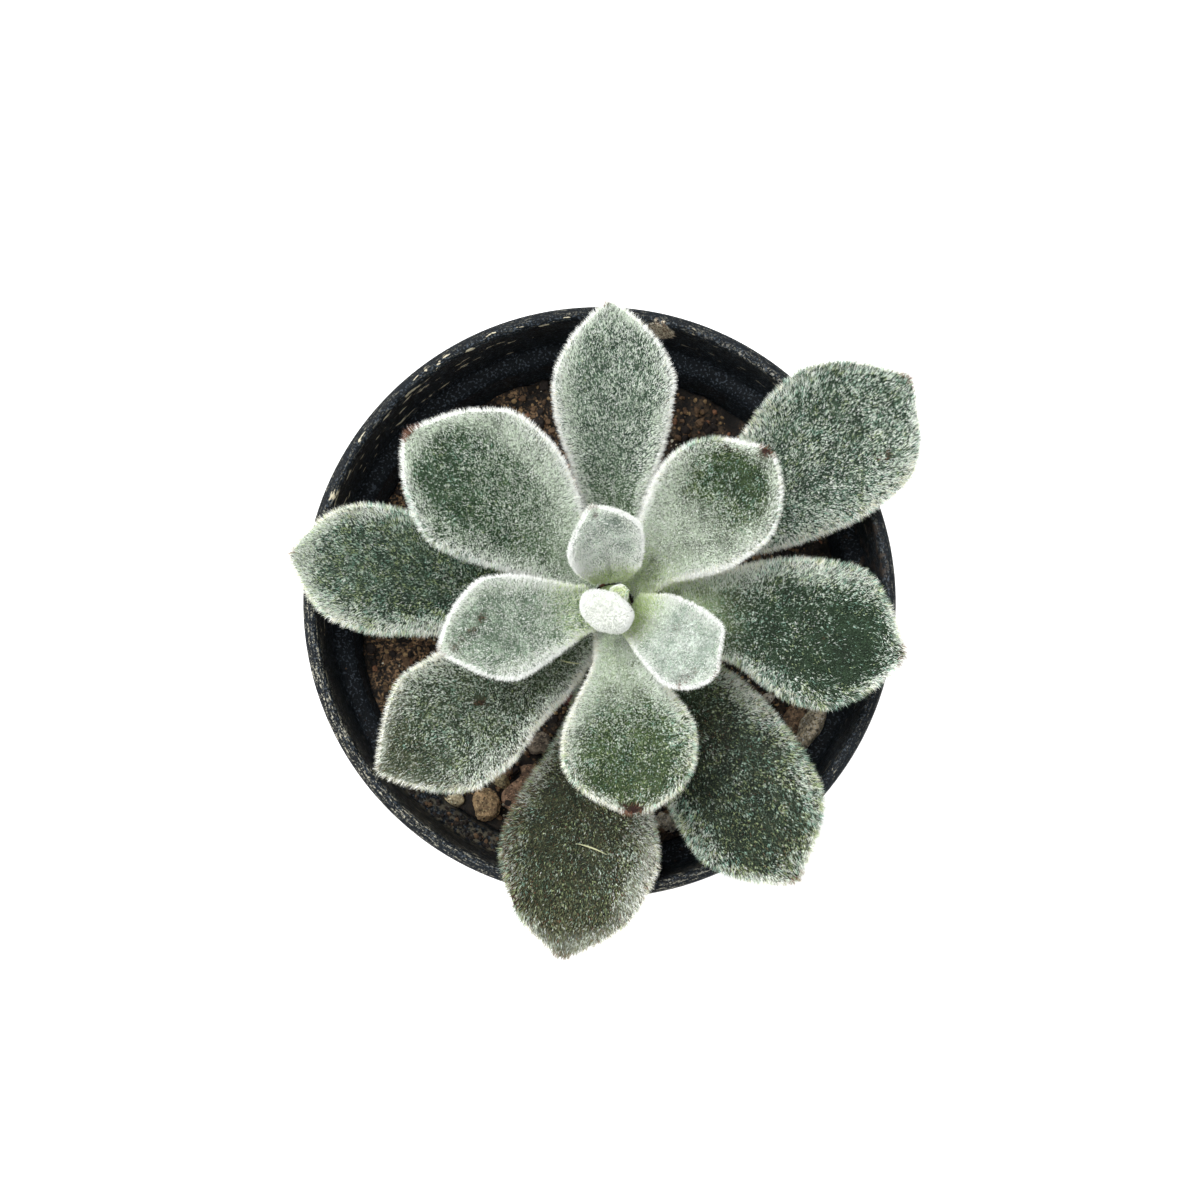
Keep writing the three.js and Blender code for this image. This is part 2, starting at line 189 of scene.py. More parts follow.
# %% [markdown]
# ## Meshes from arrays
# The plant carries some six hundred thousand hairs, far too many to add one by one. NumPy works out all
# the points of a piece at once, and one function hands them to Blender. Leaves, pot, soil and stem are all
# rings of points, so one more function closes such a tube. A repeatable cloud of numbers, made from a
# grid of seeded values, gives surfaces their small unevenness.

# %% Make an object from arrays
def make_piece(name, points, triangles, material, smooth=True, values=None, looks=None):
    """An object from points in millimetres and triangles, with values at its points or looks of its faces."""
    mesh = bpy.data.meshes.new(name)
    mesh.vertices.add(len(points))
    mesh.vertices.foreach_set("co", (np.asarray(points) * MM).astype(np.float32).ravel())
    mesh.loops.add(triangles.size)
    mesh.loops.foreach_set("vertex_index", triangles.astype(np.int32).ravel())
    mesh.polygons.add(len(triangles))
    mesh.polygons.foreach_set("loop_start", np.arange(0, triangles.size, 3, dtype=np.int32))
    mesh.polygons.foreach_set("use_smooth", np.full(len(triangles), smooth))
    for finish in material if isinstance(material, list) else [material]:
        mesh.materials.append(finish)
    if looks is not None:
        mesh.polygons.foreach_set("material_index", looks.astype(np.int32))
    for label, numbers in (values or {}).items():
        kind, field = ("FLOAT", "value") if np.ndim(numbers) == 1 else ("FLOAT_VECTOR", "vector")
        layer = mesh.attributes.new(label, kind, "POINT")
        layer.data.foreach_set(field, np.asarray(numbers, np.float32).ravel())
    mesh.update(calc_edges=True)
    piece = bpy.data.objects.new(name, mesh)
    bpy.context.scene.collection.objects.link(piece)
    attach(piece, "root")
    return piece


def tube(points, rows, columns):
    """Points and triangles of a tube of rings, with a fan over the first ring and one over the last."""
    ring = np.arange(columns)
    turned = (ring + 1) % columns
    base = columns * np.arange(rows - 1)[:, None]
    here = (base + ring).ravel()
    beside = (base + turned).ravel()
    end = (rows - 1) * columns
    first = np.full(columns, len(points))
    corners = [(here, beside, beside + columns), (here, beside + columns, here + columns),
               (first, turned, ring), (first + 1, end + ring, end + turned)]
    centres = [points[:columns].mean(axis=0), points[-columns:].mean(axis=0)]
    return np.vstack([points, *centres]), np.vstack([np.stack(three, -1) for three in corners])


# %% A repeatable cloud
def lattice(x, y, z, seed):
    """A fixed random number from -1 to 1 for every whole-numbered place."""
    mixed = (x * 374761393 + y * 668265263 + z * 1440662683 + seed * 974634777) & 0xFFFFFFFF
    mixed = ((mixed ^ (mixed >> 13)) * 1274126177) & 0xFFFFFFFF
    return ((mixed ^ (mixed >> 16)) & 0xFFFF) / 32767.5 - 1.0


def cloud(points, size, seed):
    """Smooth noise from -1 to 1 at each point, with blotches about as large as size."""
    scaled = np.asarray(points, float) / size
    cell = np.floor(scaled).astype(np.int64)
    part = scaled - cell
    part = part * part * (3 - 2 * part)
    total = np.zeros(len(scaled))
    for dx in (0, 1):
        for dy in (0, 1):
            for dz in (0, 1):
                weight = np.abs(1 - dx - part[:, 0]) * np.abs(1 - dy - part[:, 1])
                weight = weight * np.abs(1 - dz - part[:, 2])
                total += weight * lattice(cell[:, 0] + dx, cell[:, 1] + dy, cell[:, 2] + dz, seed)
    return total


def ease(x):
    x = np.clip(x, 0, 1)
    return x * x * (3 - 2 * x)


def unit(vectors):
    return vectors / np.maximum(np.linalg.norm(vectors, axis=-1, keepdims=True), 1e-9)


def name_seed(name, start):
    """A whole number for a name, so that each leaf is uneven in its own way."""
    return sum(ord(letter) * (i + start) for i, letter in enumerate(name))


# %% [markdown]
# ## The stem and the leaves' places on it
# The rosette grows on a short stem that leans a little. Each leaf is seated at its own height, turned about
# 137 degrees from the one before, which is how the plant keeps new leaves out of the shade of old ones.
# These values repeat the frame's, so that the velvet leaves lie where the plain ones were.

# %% The stem's line
STEM_FOOT = np.array([0.9, -1.2, 50.0])
STEM_TOP = np.array([2.4, -1.6, 110.0])
STEM_RADIUS = 4.6
STEM_TOP_RADIUS = 2.2
TAPER_FROM = 66


def stem_centre(z):
    share = (np.asarray(z, float) - STEM_FOOT[2]) / (STEM_TOP[2] - STEM_FOOT[2])
    return STEM_FOOT + share[..., None] * (STEM_TOP - STEM_FOOT)


def stem_radius(z):
    share = np.clip((np.asarray(z, float) - TAPER_FROM) / (STEM_TOP[2] - TAPER_FROM), 0, 1)
    return STEM_RADIUS - (STEM_RADIUS - STEM_TOP_RADIUS) * share ** 1.6


print("stem, mm high:", STEM_TOP[2] - STEM_FOOT[2])


# %% The leaves, oldest first
# seat: height of the foot on the stem. turn: compass direction. rise, rise_tip: slope at the foot and the
# tip. cup: lift of the margins. at, neck, point: where the leaf is widest, how slowly it widens and how
# blunt it ends. foot: width at the stem. bend, hook: how the middle line turns sideways, evenly and at
# the end.
LEAF_VALUES = "seat turn long wide thick rise rise_tip cup at neck point foot bend hook".split()
LEAVES = {
    "leaf_01": (78.0, 263.2, 59.3, 26.6, 4.4, 35, -4, 0.10, 0.71, 3.8, 1.75, 6, -1.2, -4),
    "leaf_02": (80.5, 34.2, 63.5, 26.9, 4.4, 28, -2, 0.10, 0.75, 2.9, 1.85, 6, 8.7, 0),
    "leaf_03": (83.0, 171.7, 53.1, 21.6, 4.2, 24, 0, 0.08, 0.7, 2.2, 2.75, 6, -4.5, 9.5),
    "leaf_04": (85.5, 307.4, 54.0, 24.2, 4.4, 24, 0, 0.10, 0.7, 1.0, 2.4, 6, -17.3, 18.5),
    "leaf_05": (88.0, 88.1, 49.4, 20, 4.2, 26, 2, 0.12, 0.71, 2.6, 1.95, 6, 6.4, 0),
    "leaf_06": (90.5, 219.4, 46.3, 22.2, 4.4, 30, 6, 0.12, 0.72, 1.05, 1.65, 6, -9.2, 0),
    "leaf_07": (93.0, 352.9, 48.1, 23.8, 4.4, 32, 6, 0.14, 0.76, 1.5, 1.8, 6, -16.7, 13),
    "leaf_08": (95.3, 134.9, 43.3, 24.8, 4.2, 38, 12, 0.20, 0.69, 1.85, 2.05, 6, 29.5, -30),
    "leaf_09": (97.5, 276.6, 35.5, 21.3, 4.2, 42, 12, 0.16, 0.68, 3.3, 3.0, 6, -1.5, -9.5),
    "leaf_10": (99.6, 43.1, 35.8, 19.8, 4.0, 46, 16, 0.25, 0.66, 2.6, 2.6, 6, -7.3, 19),
    "leaf_11": (101.6, 195.3, 29.5, 16.3, 3.8, 44, 14, 0.18, 0.67, 1.8, 1.65, 7, 7.4, 3),
    "leaf_12": (103.6, 327.5, 21.7, 12.9, 3.4, 54, 20, 0.25, 0.74, 1.6, 2.75, 6.5, -28.5, 44),
    "leaf_13": (105.4, 97.7, 19.8, 11.8, 3.2, 68, 48, 0.30, 0.6, 1.0, 2.5, 5.5, 28, -16),
    "leaf_14": (107.5, 244, 11.3, 8.5, 3.5, 76, 140, 0.05, 0.6, 1.0, 4, 5, 0, 0),
    "heart_bud": (110.45, 22, 6.2, 3, 2.6, 80, 64, 0.1, 0.45, 1, 3, 2, 0, 0),
}
LEAVES = {name: dict(zip(LEAF_VALUES, values)) for name, values in LEAVES.items()}
YOUNG_FROM = 101


def is_young(leaf):
    return leaf["seat"] > YOUNG_FROM


print("leaves:", len(LEAVES) - 1, "and a heart bud, young:", sum(is_young(leaf) for leaf in LEAVES.values()))

# %% [markdown]
# ## One leaf as a surface
# A leaf is a middle line with a section at each point of it. The section is nearly flat above and round
# below, and its margins are lifted like the rim of a spoon. Here the surface is a function of two numbers:
# how far along the leaf, and how far round the section. The skin is drawn from it, and later every
# hair is rooted on it.

# %% The leaf's middle line and widths
LINE_STEPS = 80
UPPER_SHARE = 0.65
LOWER_SHARE = 1.35
FOOT_THICKNESS_SHARE = 0.6
TIP_THICKNESS_SHARE = 0.5
SEAT_GAP = 0.36


def half_thickness(leaf, share):
    up = FOOT_THICKNESS_SHARE + (1 - FOOT_THICKNESS_SHARE) * ease(share / 0.45)
    down = 1 - (1 - TIP_THICKNESS_SHARE) * ease((share - 0.5) / 0.5)
    return leaf["thick"] / 2 * up * down


def half_width(leaf, share):
    foot_share = leaf["foot"] / leaf["wide"]
    swell = np.sin(math.pi / 2 * np.clip(share / leaf["at"], 0, 1)) ** leaf["neck"]
    rising = foot_share + (1 - foot_share) * swell
    falling = 1 - np.clip((share - leaf["at"]) / (1 - leaf["at"]), 0, 1) ** leaf["point"]
    return leaf["wide"] / 2 * np.where(share < leaf["at"], rising, falling)


def leaf_root(name, leaf):
    if name == "heart_bud":
        return np.array([STEM_TOP[0], STEM_TOP[1], leaf["seat"]])
    turn = math.radians(leaf["turn"])
    thickness = UPPER_SHARE * half_thickness(leaf, 0.0) * math.sin(math.radians(leaf["rise"]))
    reach = stem_radius(leaf["seat"]) + thickness + SEAT_GAP
    return stem_centre(leaf["seat"]) + reach * np.array([math.cos(turn), math.sin(turn), 0])


def middle_line(name, leaf, share):
    """Points of the middle line, and there the directions of travel, across and up."""
    steps = np.linspace(0, 1, LINE_STEPS + 1)
    slope = np.radians(leaf["rise"] + (leaf["rise_tip"] - leaf["rise"]) * steps)
    compass = np.radians(leaf["turn"] + leaf["bend"] * steps ** 2 + leaf["hook"] * steps ** 8)
    travel = np.stack([np.cos(slope) * np.cos(compass), np.cos(slope) * np.sin(compass), np.sin(slope)], -1)
    walked = np.cumsum(travel[1:], axis=0) * leaf["long"] / LINE_STEPS
    points = leaf_root(name, leaf) + np.vstack([np.zeros(3), walked])

    def along(columns):
        return np.stack([np.interp(share, steps, columns[:, i]) for i in range(3)], -1)

    compass_here = np.interp(share, steps, compass)
    across = np.stack([-np.sin(compass_here), np.cos(compass_here), np.zeros_like(compass_here)], -1)
    travel_here = unit(along(travel))
    return along(points), travel_here, across, np.cross(travel_here, across)


# %% Margins that aren't even
# Where a margin of the real plant lies further out or in than the even outline. Each: how far along, over
# which share of the leaf, on the left (1) or the right (-1), and by how many millimetres.
MARGIN_SHIFTS = {
    "leaf_01": [(0.91, 0.07, -1, 1.6), (0.89, 0.08, 1, 1.4)],
    "leaf_02": [(0.92, 0.06, 1, 0.8), (0.88, 0.08, -1, 1.0)],
    "leaf_06": [(0.42, 0.15, 1, -1.4)],
    "leaf_07": [(0.42, 0.13, -1, -2.0)],
    "leaf_08": [(0.80, 0.09, -1, -0.8), (0.45, 0.14, -1, 0.6)],
    "leaf_12": [(0.35, 0.20, 1, 0.5)],
}


def margin_shift(name, share, sideways):
    total = 0 * share * sideways
    for at, spread, side, amount in MARGIN_SHIFTS.get(name, []):
        here = np.exp(-(((share - at) / spread) ** 2))
        total = total + amount * here * np.clip(side * sideways, 0, 1) ** 2
    return total


# %% The leaf's skin as a grid
MIDRIB_DEPTH = 0.35
MIDRIB_WIDTH = 0.10
WAVE_HEIGHT = 0.35
FULL_WAVE_WIDTH = 20


def leaf_grid(name, leaf, rows, columns):
    """Points over the whole skin, row by row from foot to tip, with where each lies on the leaf."""
    share = 1 - (1 - np.linspace(0, 1, rows)) ** 1.3
    angle = np.linspace(0, 2 * math.pi, columns, endpoint=False)
    line, travel, across, up = middle_line(name, leaf, share)
    half = half_width(leaf, share)[:, None]
    height = np.sin(angle)[None, :]
    upper = UPPER_SHARE * np.clip(height, 0, 1) ** 0.6
    lower = -LOWER_SHARE * np.clip(-height, 0, 1) ** 0.85
    bulge = half_thickness(leaf, share)[:, None] * (upper + lower)
    bulge = bulge * np.clip(half / 1.6, 0, 1) ** 0.5
    sideways = np.cos(angle)[None, :]
    lift = leaf["cup"] * half * sideways ** 2 * ease(share / 0.3)[:, None]

    seed = name_seed(name, 3)
    middle = share[:, None] + 0 * sideways
    flat = 0 * middle

    def uneven(places, size, extra):
        return cloud(places.reshape(-1, 3), size, seed + extra).reshape(rows, columns)

    body = ease(share / 0.25)[:, None] * ease((1 - share) / 0.25)[:, None]
    smaller = min(1.0, leaf["wide"] / FULL_WAVE_WIDTH)
    groove = np.exp(-((sideways / MIDRIB_WIDTH) ** 2)) * np.clip(height, 0, 1)
    keel = np.exp(-((sideways / (2 * MIDRIB_WIDTH)) ** 2)) * np.clip(-height, 0, 1)
    ragged_at = np.stack([middle * leaf["long"], 30 * sideways + flat, 40 + flat], -1)
    ragged = 0.30 * uneven(ragged_at, 4.5, 3) + 0.12 * uneven(ragged_at, 1.4, 4)
    half = half + ragged * sideways ** 2 * body * smaller
    half = half + margin_shift(name, share[:, None], sideways)
    wave_at = np.stack([middle * leaf["long"], 8 * np.sign(sideways) + flat, flat], -1)
    wave = WAVE_HEIGHT * uneven(wave_at, 9.0, 0) * np.abs(sideways) ** 3 * body * smaller
    rise = bulge + lift + wave - MIDRIB_DEPTH * groove * body - 0.4 * MIDRIB_DEPTH * keel * body

    points = line[:, None] + (half * sideways)[..., None] * across[:, None] + rise[..., None] * up[:, None]
    bumps = (0.16 * uneven(points, 3.4, 1) + 0.07 * uneven(points, 1.3, 2)) * body
    points = points + (bumps * np.sign(height))[..., None] * up[:, None]
    return points, {"along": middle, "aside": sideways + flat, "above": height + flat}


# %% [markdown]
# ## The skin's colour
# Under the hairs the skin is a muted green, dark and a little brown on the oldest leaves and pale
# yellow-green at the heart. It is paler towards the foot of each leaf, cloudy in the middle, and
# turns reddish brown at the very tip. The mesh carries how far along and how far aside each point lies,
# so that the colour can follow the leaf's own shape. The colours themselves were chosen leaf by leaf.

# %% The colours of each leaf
# The two greens of the cloudy middle, then the colour of the foot, which is partly the leaf's own paler colour
# and partly painted light against the shade of the leaves above.
SKINS = {
    "leaf_01": ((0.010, 0.013, 0.006), (0.034, 0.038, 0.017), (0.040, 0.050, 0.022)),
    "leaf_02": ((0.015, 0.030, 0.018), (0.048, 0.082, 0.052), (0.100, 0.140, 0.080)),
    "leaf_03": ((0.010, 0.022, 0.013), (0.034, 0.058, 0.032), (0.060, 0.090, 0.045)),
    "leaf_04": ((0.007, 0.014, 0.008), (0.026, 0.037, 0.021), (0.060, 0.085, 0.040)),
    "leaf_05": ((0.028, 0.052, 0.033), (0.080, 0.122, 0.082), (0.110, 0.160, 0.085)),
    "leaf_06": ((0.015, 0.028, 0.014), (0.050, 0.068, 0.037), (0.050, 0.080, 0.034)),
    "leaf_07": ((0.006, 0.018, 0.006), (0.022, 0.046, 0.021), (0.420, 0.540, 0.270)),
    "leaf_08": ((0.018, 0.042, 0.018), (0.060, 0.100, 0.055), (0.190, 0.270, 0.160)),
    "leaf_09": ((0.018, 0.038, 0.012), (0.064, 0.098, 0.036), (0.400, 0.500, 0.280)),
    "leaf_10": ((0.016, 0.034, 0.011), (0.055, 0.088, 0.034), (0.750, 0.850, 0.620)),
    "leaf_11": ((0.100, 0.150, 0.100), (0.260, 0.340, 0.255), (0.230, 0.340, 0.190)),
    "leaf_12": ((0.300, 0.380, 0.310), (0.580, 0.640, 0.590), (0.500, 0.640, 0.260)),
    "leaf_13": ((0.240, 0.300, 0.250), (0.650, 0.760, 0.660), (0.480, 0.640, 0.260)),
    "leaf_14": ((0.800, 0.840, 0.760), (0.850, 0.870, 0.810), (0.480, 0.580, 0.240)),
    "heart_bud": ((0.500, 0.620, 0.280), (0.640, 0.730, 0.400), (0.280, 0.360, 0.080)),
}
TIP_BROWN = (0.022, 0.008, 0.006)
print("leaves with colours of their own:", len(SKINS))

# %% [markdown]
# ## Each leaf's own coat
# Young leaves wear short, dense hairs and look nearly white. On the older ones the coat is longer and
# thinner, so the green shows through, and the weather has turned some of the hairs yellow or brown. This
# table keeps those habits leaf by leaf.

# %% The velvet of each leaf
# per_area: hairs to a square millimetre. length: in millimetres. dull, silver, mint: each hair draws a number
# that is higher where the leaf is frosted and where light is painted on it. Below dull the hair is dull, below
# dull plus silver it is silver, up to mint it is mint, and above that it is white. rim, foot: how much whiter
# the margins and the foot are; the whiter foot is partly the leaf's own and partly painted light against the
# shade
# of the leaves above. tip: how brown the tip is.
COAT_VALUES = "per_area length dull silver mint rim foot tip".split()
# What only some leaves have. thin: how much barer the thin patches are. tufted: how strongly the hairs gather
# in tufts. cream: the share of white hairs at the margin that are yellowed. lime: how yellow-green the foot
# is, in a lime bright enough to be partly painted light shining through the young foot. olive, olive_tip,
# rust:
# the shares of hairs that are so, olive_tip near the tip only. warm: how much more often a hair is yellowish
# than teal. side: how much whiter the left half is than the right, painted light and shade as the light falls
# across the leaf. end: how much whiter the last quarter is, a painted highlight.
COAT_DEFAULTS = dict(thin=0.30, tufted=0.55, cream=0.35, lime=0, olive=0, olive_tip=0, rust=0, warm=0, side=0,
                     end=0)
FLEECE = {
    "leaf_01": (50, 1.05, 0.62, 0.08, 0.98, 0.6, 0.3, 0.4,
                dict(olive=0.42, olive_tip=0.7, rust=0.06, warm=0.35, side=0.2)),
    "leaf_02": (50, 1.05, 0.42, 0.04, 0.6, 0.05, 0.5, 0.6, dict(side=-0.06)),
    "leaf_03": (48, 1.05, 0.4, 0.12, 0.82, 0.44, 0.4, 0.3, dict(warm=0.15, end=0.25)),
    "leaf_04": (48, 1.05, 0.64, 0.08, 1.02, 0.42, 0.4, 0.4,
                dict(olive=0.12, olive_tip=0.25, rust=0.02, warm=0.2, side=0.06, end=-0.12)),
    "leaf_05": (52, 1.00, 0.36, 0.04, 0.42, 0.6, 0.4, 0.2, dict(cream=0.1)),
    "leaf_06": (50, 1.05, 0.2, 0.1, 0.54, 0.45, 0.5, 0.1,
                dict(olive=0.08, olive_tip=0.6, warm=0.15, side=-0.06)),
    "leaf_07": (47, 1.05, 0.82, 0.06, 1.04, 0.42, 1.3, 0.6, dict(lime=0.5, warm=-0.1, side=0.12)),
    "leaf_08": (50, 1.00, 0.42, 0.06, 0.6, 0.9, 1.3, 0.9, dict(cream=0.05, warm=-0.05, side=-0.4)),
    "leaf_09": (50, 0.95, 0.5, 0.12, 0.86, 0.38, 2.3, 0.9, dict(olive_tip=0.25, warm=0.2, side=-0.08)),
    "leaf_10": (48, 0.95, 0.58, 0.1, 0.88, 0.7, 4.2, 0.8, dict(cream=0.1, lime=0.5, side=-0.15)),
    "leaf_11": (74, 0.85, 0.2, 0.03, 0.23, 0.85, 0.6, 0.3, dict(thin=0.5, lime=0.4, olive=0.04, side=-0.15)),
    "leaf_12": (104, 0.65, 0.0, 0.05, 0.0, 0.5, 0.8, 0.2, dict(thin=0.6, tufted=0.3, lime=0.7)),
    "leaf_13": (122, 0.60, 0.0, 0.08, 0.08, 0.9, 0.8, 0.3, dict(thin=0.75, tufted=0.3, lime=0.7)),
    "leaf_14": (160, 0.45, 0.0, 0.0, 0.0, 0.9, 1.0, 0.0, dict(thin=0.1, tufted=0.0, lime=0.08)),
    "heart_bud": (80, 0.25, 0.0, 0.1, 0.3, 0.0, 0.8, 0.0, dict(tufted=0.2, lime=0.6)),
}
FLEECE = {name: {**COAT_DEFAULTS, **dict(zip(COAT_VALUES, row)), **row[-1]} for name, row in FLEECE.items()}
print("densest coat, hairs to a square millimetre:", max(coat["per_area"] for coat in FLEECE.values()))

# %% [markdown]
# ## Marks and frost
# A dried tip, a scratch and spots where water stood make the plant look lived with: each is an ellipse on
# one leaf. The frost is the other way that a leaf differs from place to place: the velvet is whiter at the
# margins and at the foot, where the paler foot is partly painted light against the shade of the leaves above.
# On some leaves it is whiter near the tip, a painted highlight, and whiter on one half than the other, painted
# light and shade. The skin and the hairs both ask these two functions, so that their colours agree.

# %% The marks on the leaves
# Each: how far along, how far aside (-1 right to 1 left of the middle line), size in millimetres along and
# across, and strength.
MARKS = {
    "leaf_01": [(0.68, -0.93, 9.0, 1.5, 0.3), (0.855, -0.97, 0.9, 0.9, 0.9)],
    "leaf_02": [(0.81, -0.60, 0.7, 0.6, 0.9), (0.79, -0.53, 0.5, 0.4, 0.7)],
    "leaf_04": [(0.45, 0.1, 5.0, 4.0, 0.12)],
    "leaf_06": [(0.555, -0.05, 0.9, 0.7, 0.9)],
    "leaf_07": [(0.725, -0.06, 0.6, 0.5, 1.0)],
    "leaf_09": [(0.985, 0.22, 1.0, 1.3, 1.0), (0.965, -0.45, 0.5, 0.6, 0.9)],
    "leaf_10": [(0.99, 0.1, 1.1, 0.9, 1.0), (0.88, 0.75, 0.7, 0.8, 0.5)],
    "leaf_11": [(0.73, -0.32, 0.8, 0.6, 0.5), (0.80, -0.20, 0.9, 0.7, 0.6), (0.87, -0.08, 0.7, 0.6, 0.5),
                (0.93, 0.2, 0.8, 0.7, 0.5)],
    "leaf_12": [(0.55, 0.35, 1.0, 1.3, 0.12), (0.86, -0.62, 0.8, 1.7, 0.45)],
    "leaf_13": [(0.93, 0.0, 0.5, 0.4, 0.7)],
}


def mark_strength(name, along, aside, width, length):
    """How strongly a point is marked, from 0 to 1. width is the half width there, in millimetres."""
    total = np.zeros(np.shape(along))
    for mark_along, mark_aside, size_along, size_across, strength in MARKS.get(name, []):
        down = (along - mark_along) * length / size_along
        over = (aside - mark_aside) * width / size_across
        total = np.maximum(total, strength * ease(1.6 - np.hypot(down, over)))
    return total


print("marks on the leaves:", sum(len(marks) for marks in MARKS.values()))


# %% Where the hairs are whiter
def frost_and_painted_light(name, share, off_centre, points):
    """How much whiter the velvet is than in the middle of the leaf: at the margin, the foot and the tip, with
    painted light and shade in it.
    """
    coat = FLEECE[name]
    off = np.abs(off_centre)
    margin = ease((off - 0.45) / 0.45) * (1 - 0.55 * ease((off - 0.90) / 0.1))
    rim = coat["rim"] * (margin * (1 + 0.6 * cloud(points, 5.0, 31)) + 1.3 * ease((share - 0.85) / 0.12))
    end = coat["end"] * ease((share - 0.70) / 0.25)
    # The side term is painted light and shade, one half of the leaf whiter than the other as the light falls.
    # The end term is a painted highlight on the last quarter. The foot term is partly the leaf's own paler
    # foot and partly painted light against the shade of the leaves above.
    return rim + coat["side"] * off_centre + end + coat["foot"] * (1 - share) ** 2


# %% The skin's finish
def bareness(points):
    """Where the velvet is thin and the skin shows dark through it, from 0 to 1."""
    return ease((cloud(points, 2.4, 61) + 0.5 * cloud(points, 1.0, 62) - 0.15) / 0.6)


def skin_finish(name, deep, bright, foot):
    finish = Finish(name + "_skin", roughness=0.6, specular_ior_level=0.15)
    along = finish.mesh_value("along")
    aside = finish.mesh_value("aside")
    patches = finish.noise(2.8, detail=4.0, roughness=0.6).ramp(0.35, 0.66)
    colour = finish.blend(patches, deep, bright)
    fine = finish.noise(0.45, detail=2.0).ramp(0.40, 0.60)
    colour = finish.blend(fine * 0.65, colour, tone(deep, 0.45))
    stubs = finish.noise(0.30, detail=1.0).ramp(0.58, 0.66)
    colour = finish.blend(stubs * 0.35, colour, tone(bright, 2.6, 0.02, 0.8))
    colour = finish.blend((aside * aside).ramp(0.88, 0.99) * 0.75, colour, tone(bright, 1.4, 0.12, 0.8))
    # Paler towards the foot: partly the leaf's own colour and partly painted light against the shade of the
    # leaves above.
    colour = finish.blend(1 - along.ramp(0.05, 0.5), colour, foot)
    blots = finish.noise(1.5, detail=1.0).ramp(0.75, 0.80)
    colour = finish.blend(blots * 0.6, colour, tone(deep, 0.5))
    # The skin is paler under whiter velvet, so it takes on the frost and the painted light and shade in it.
    colour = finish.blend(finish.mesh_value("frost_and_light_share") * (0.62 - 0.42 * fine), colour, (0.62, 0.68, 0.58))
    colour = finish.blend(finish.mesh_value("bare") * 0.5, colour, tone(deep, 0.5))
    colour = finish.blend(along.ramp(0.975, 0.998) * FLEECE[name]["tip"], colour, TIP_BROWN)
    broken = finish.mesh_value("mark") * finish.noise(0.8, detail=3.0).ramp(0.25, 0.5)
    colour = finish.blend(broken, colour, TIP_BROWN)
    return finish.paint(colour, relief=finish.noise(0.35, detail=2.0), relief_depth=0.05)


SKIN_FINISHES = {name: skin_finish(name, *colours) for name, colours in SKINS.items()}
print("skin finishes:", len(SKIN_FINISHES))

# %% Draw the skins
LEAF_ROWS = 64
LEAF_COLUMNS = 36


def make_leaf(name, leaf):
    points, here = leaf_grid(name, leaf, LEAF_ROWS, LEAF_COLUMNS)
    all_points, triangles = tube(points.reshape(-1, 3), LEAF_ROWS, LEAF_COLUMNS)
    values = {label: np.append(numbers.ravel(), [numbers[0, 0], numbers[-1, 0]])
              for label, numbers in here.items()}
    width = half_width(leaf, values["along"])
    values["mark"] = mark_strength(name, values["along"], values["aside"], width, leaf["long"])
    values["bare"] = bareness(all_points)
    values["frost_and_light_share"] = ease((frost_and_painted_light(name, values["along"], values["aside"], all_points) - 0.45) / 0.6)
    piece = make_piece(name + "_skin", all_points, triangles, SKIN_FINISHES[name], values=values)
    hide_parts(name)
    "young_leaf" if is_young(leaf) else "old_leaf"


for name, leaf in LEAVES.items():
    make_leaf(name, leaf)
print("triangles in one leaf's skin:", 2 * LEAF_ROWS * LEAF_COLUMNS)

# %% [markdown]
# ## The velvet
# The frost on this plant is a coat of stiff white hairs about a millimetre long. They stand up from the skin
# and lean a little towards the tip and the margins. Where a leaf faces the eye they are seen nearly end on
# and the green shows between them. Where it turns away, at the margins and on the steep young leaves, they
# are seen from the side and the leaf looks white. So the hairs have to be real: each one is a slim pointed
# blade whose root is sunk into the skin. Their colours are plain, because a hair is far thinner than any
# pattern on it.

# %% The hairs' finishes
HAIR_COLOURS = {
    "hair_white": (0.95, 0.965, 0.94),
    "hair_mint": (0.60, 0.76, 0.63),
    "hair_silver": (0.25, 0.36, 0.27),
    "hair_dull": (0.070, 0.112, 0.068),
    "hair_rust": (0.20, 0.095, 0.055),
    "hair_cream": (0.82, 0.80, 0.64),
    "hair_olive": (0.20, 0.205, 0.115),
    # A lime bright enough to be partly painted light shining through the young foot.
    "hair_lime": (0.72, 0.84, 0.47),
    "hair_teal": (0.38, 0.62, 0.50),
    "hair_leafy": (0.52, 0.62, 0.33),
    "hair_pale": (0.86, 0.95, 0.82),
}
HAIRS = [Finish(name, base_color=colour, roughness=0.5).material for name, colour in HAIR_COLOURS.items()]
WHITE, MINT, SILVER, DULL, RUST, CREAM, OLIVE, LIME, TEAL, LEAFY, PALE = range(len(HAIRS))
print("colours of hair:", len(HAIRS))

# %% Root the hairs on a leaf
VELVET_ROWS = 140
VELVET_COLUMNS = 72
TUFT_SIZE = 0.24
UNDERSIDE_SHARE = 0.35


def density(name, leaf, here, places):
    """How many hairs stand on a square millimetre at each place of the leaf."""
    coat = FLEECE[name]
    share, aside, above = (here[label][:-1] for label in ("along", "aside", "above"))
    mark = mark_strength(name, share, aside, half_width(leaf, share), leaf["long"])
    dense = coat["per_area"] * (1 + 0.8 * coat["foot"] * (1 - share) ** 1.6) * (1 - 0.85 * mark)
    dense = dense * (1 - coat["thin"] * bareness(places.reshape(-1, 3)).reshape(share.shape))
    dense = dense * (1 - (1 - UNDERSIDE_SHARE) * ease((-above - 0.35) / 0.4))
    dense = dense * (1 + 0.4 * ease((np.abs(aside) - 0.60) / 0.35))
    thinner = 0.45 * max(0, 1 - 1.2 * coat["rim"])
    return dense * (1 - thinner * ease((0.35 - np.abs(above)) / 0.35))


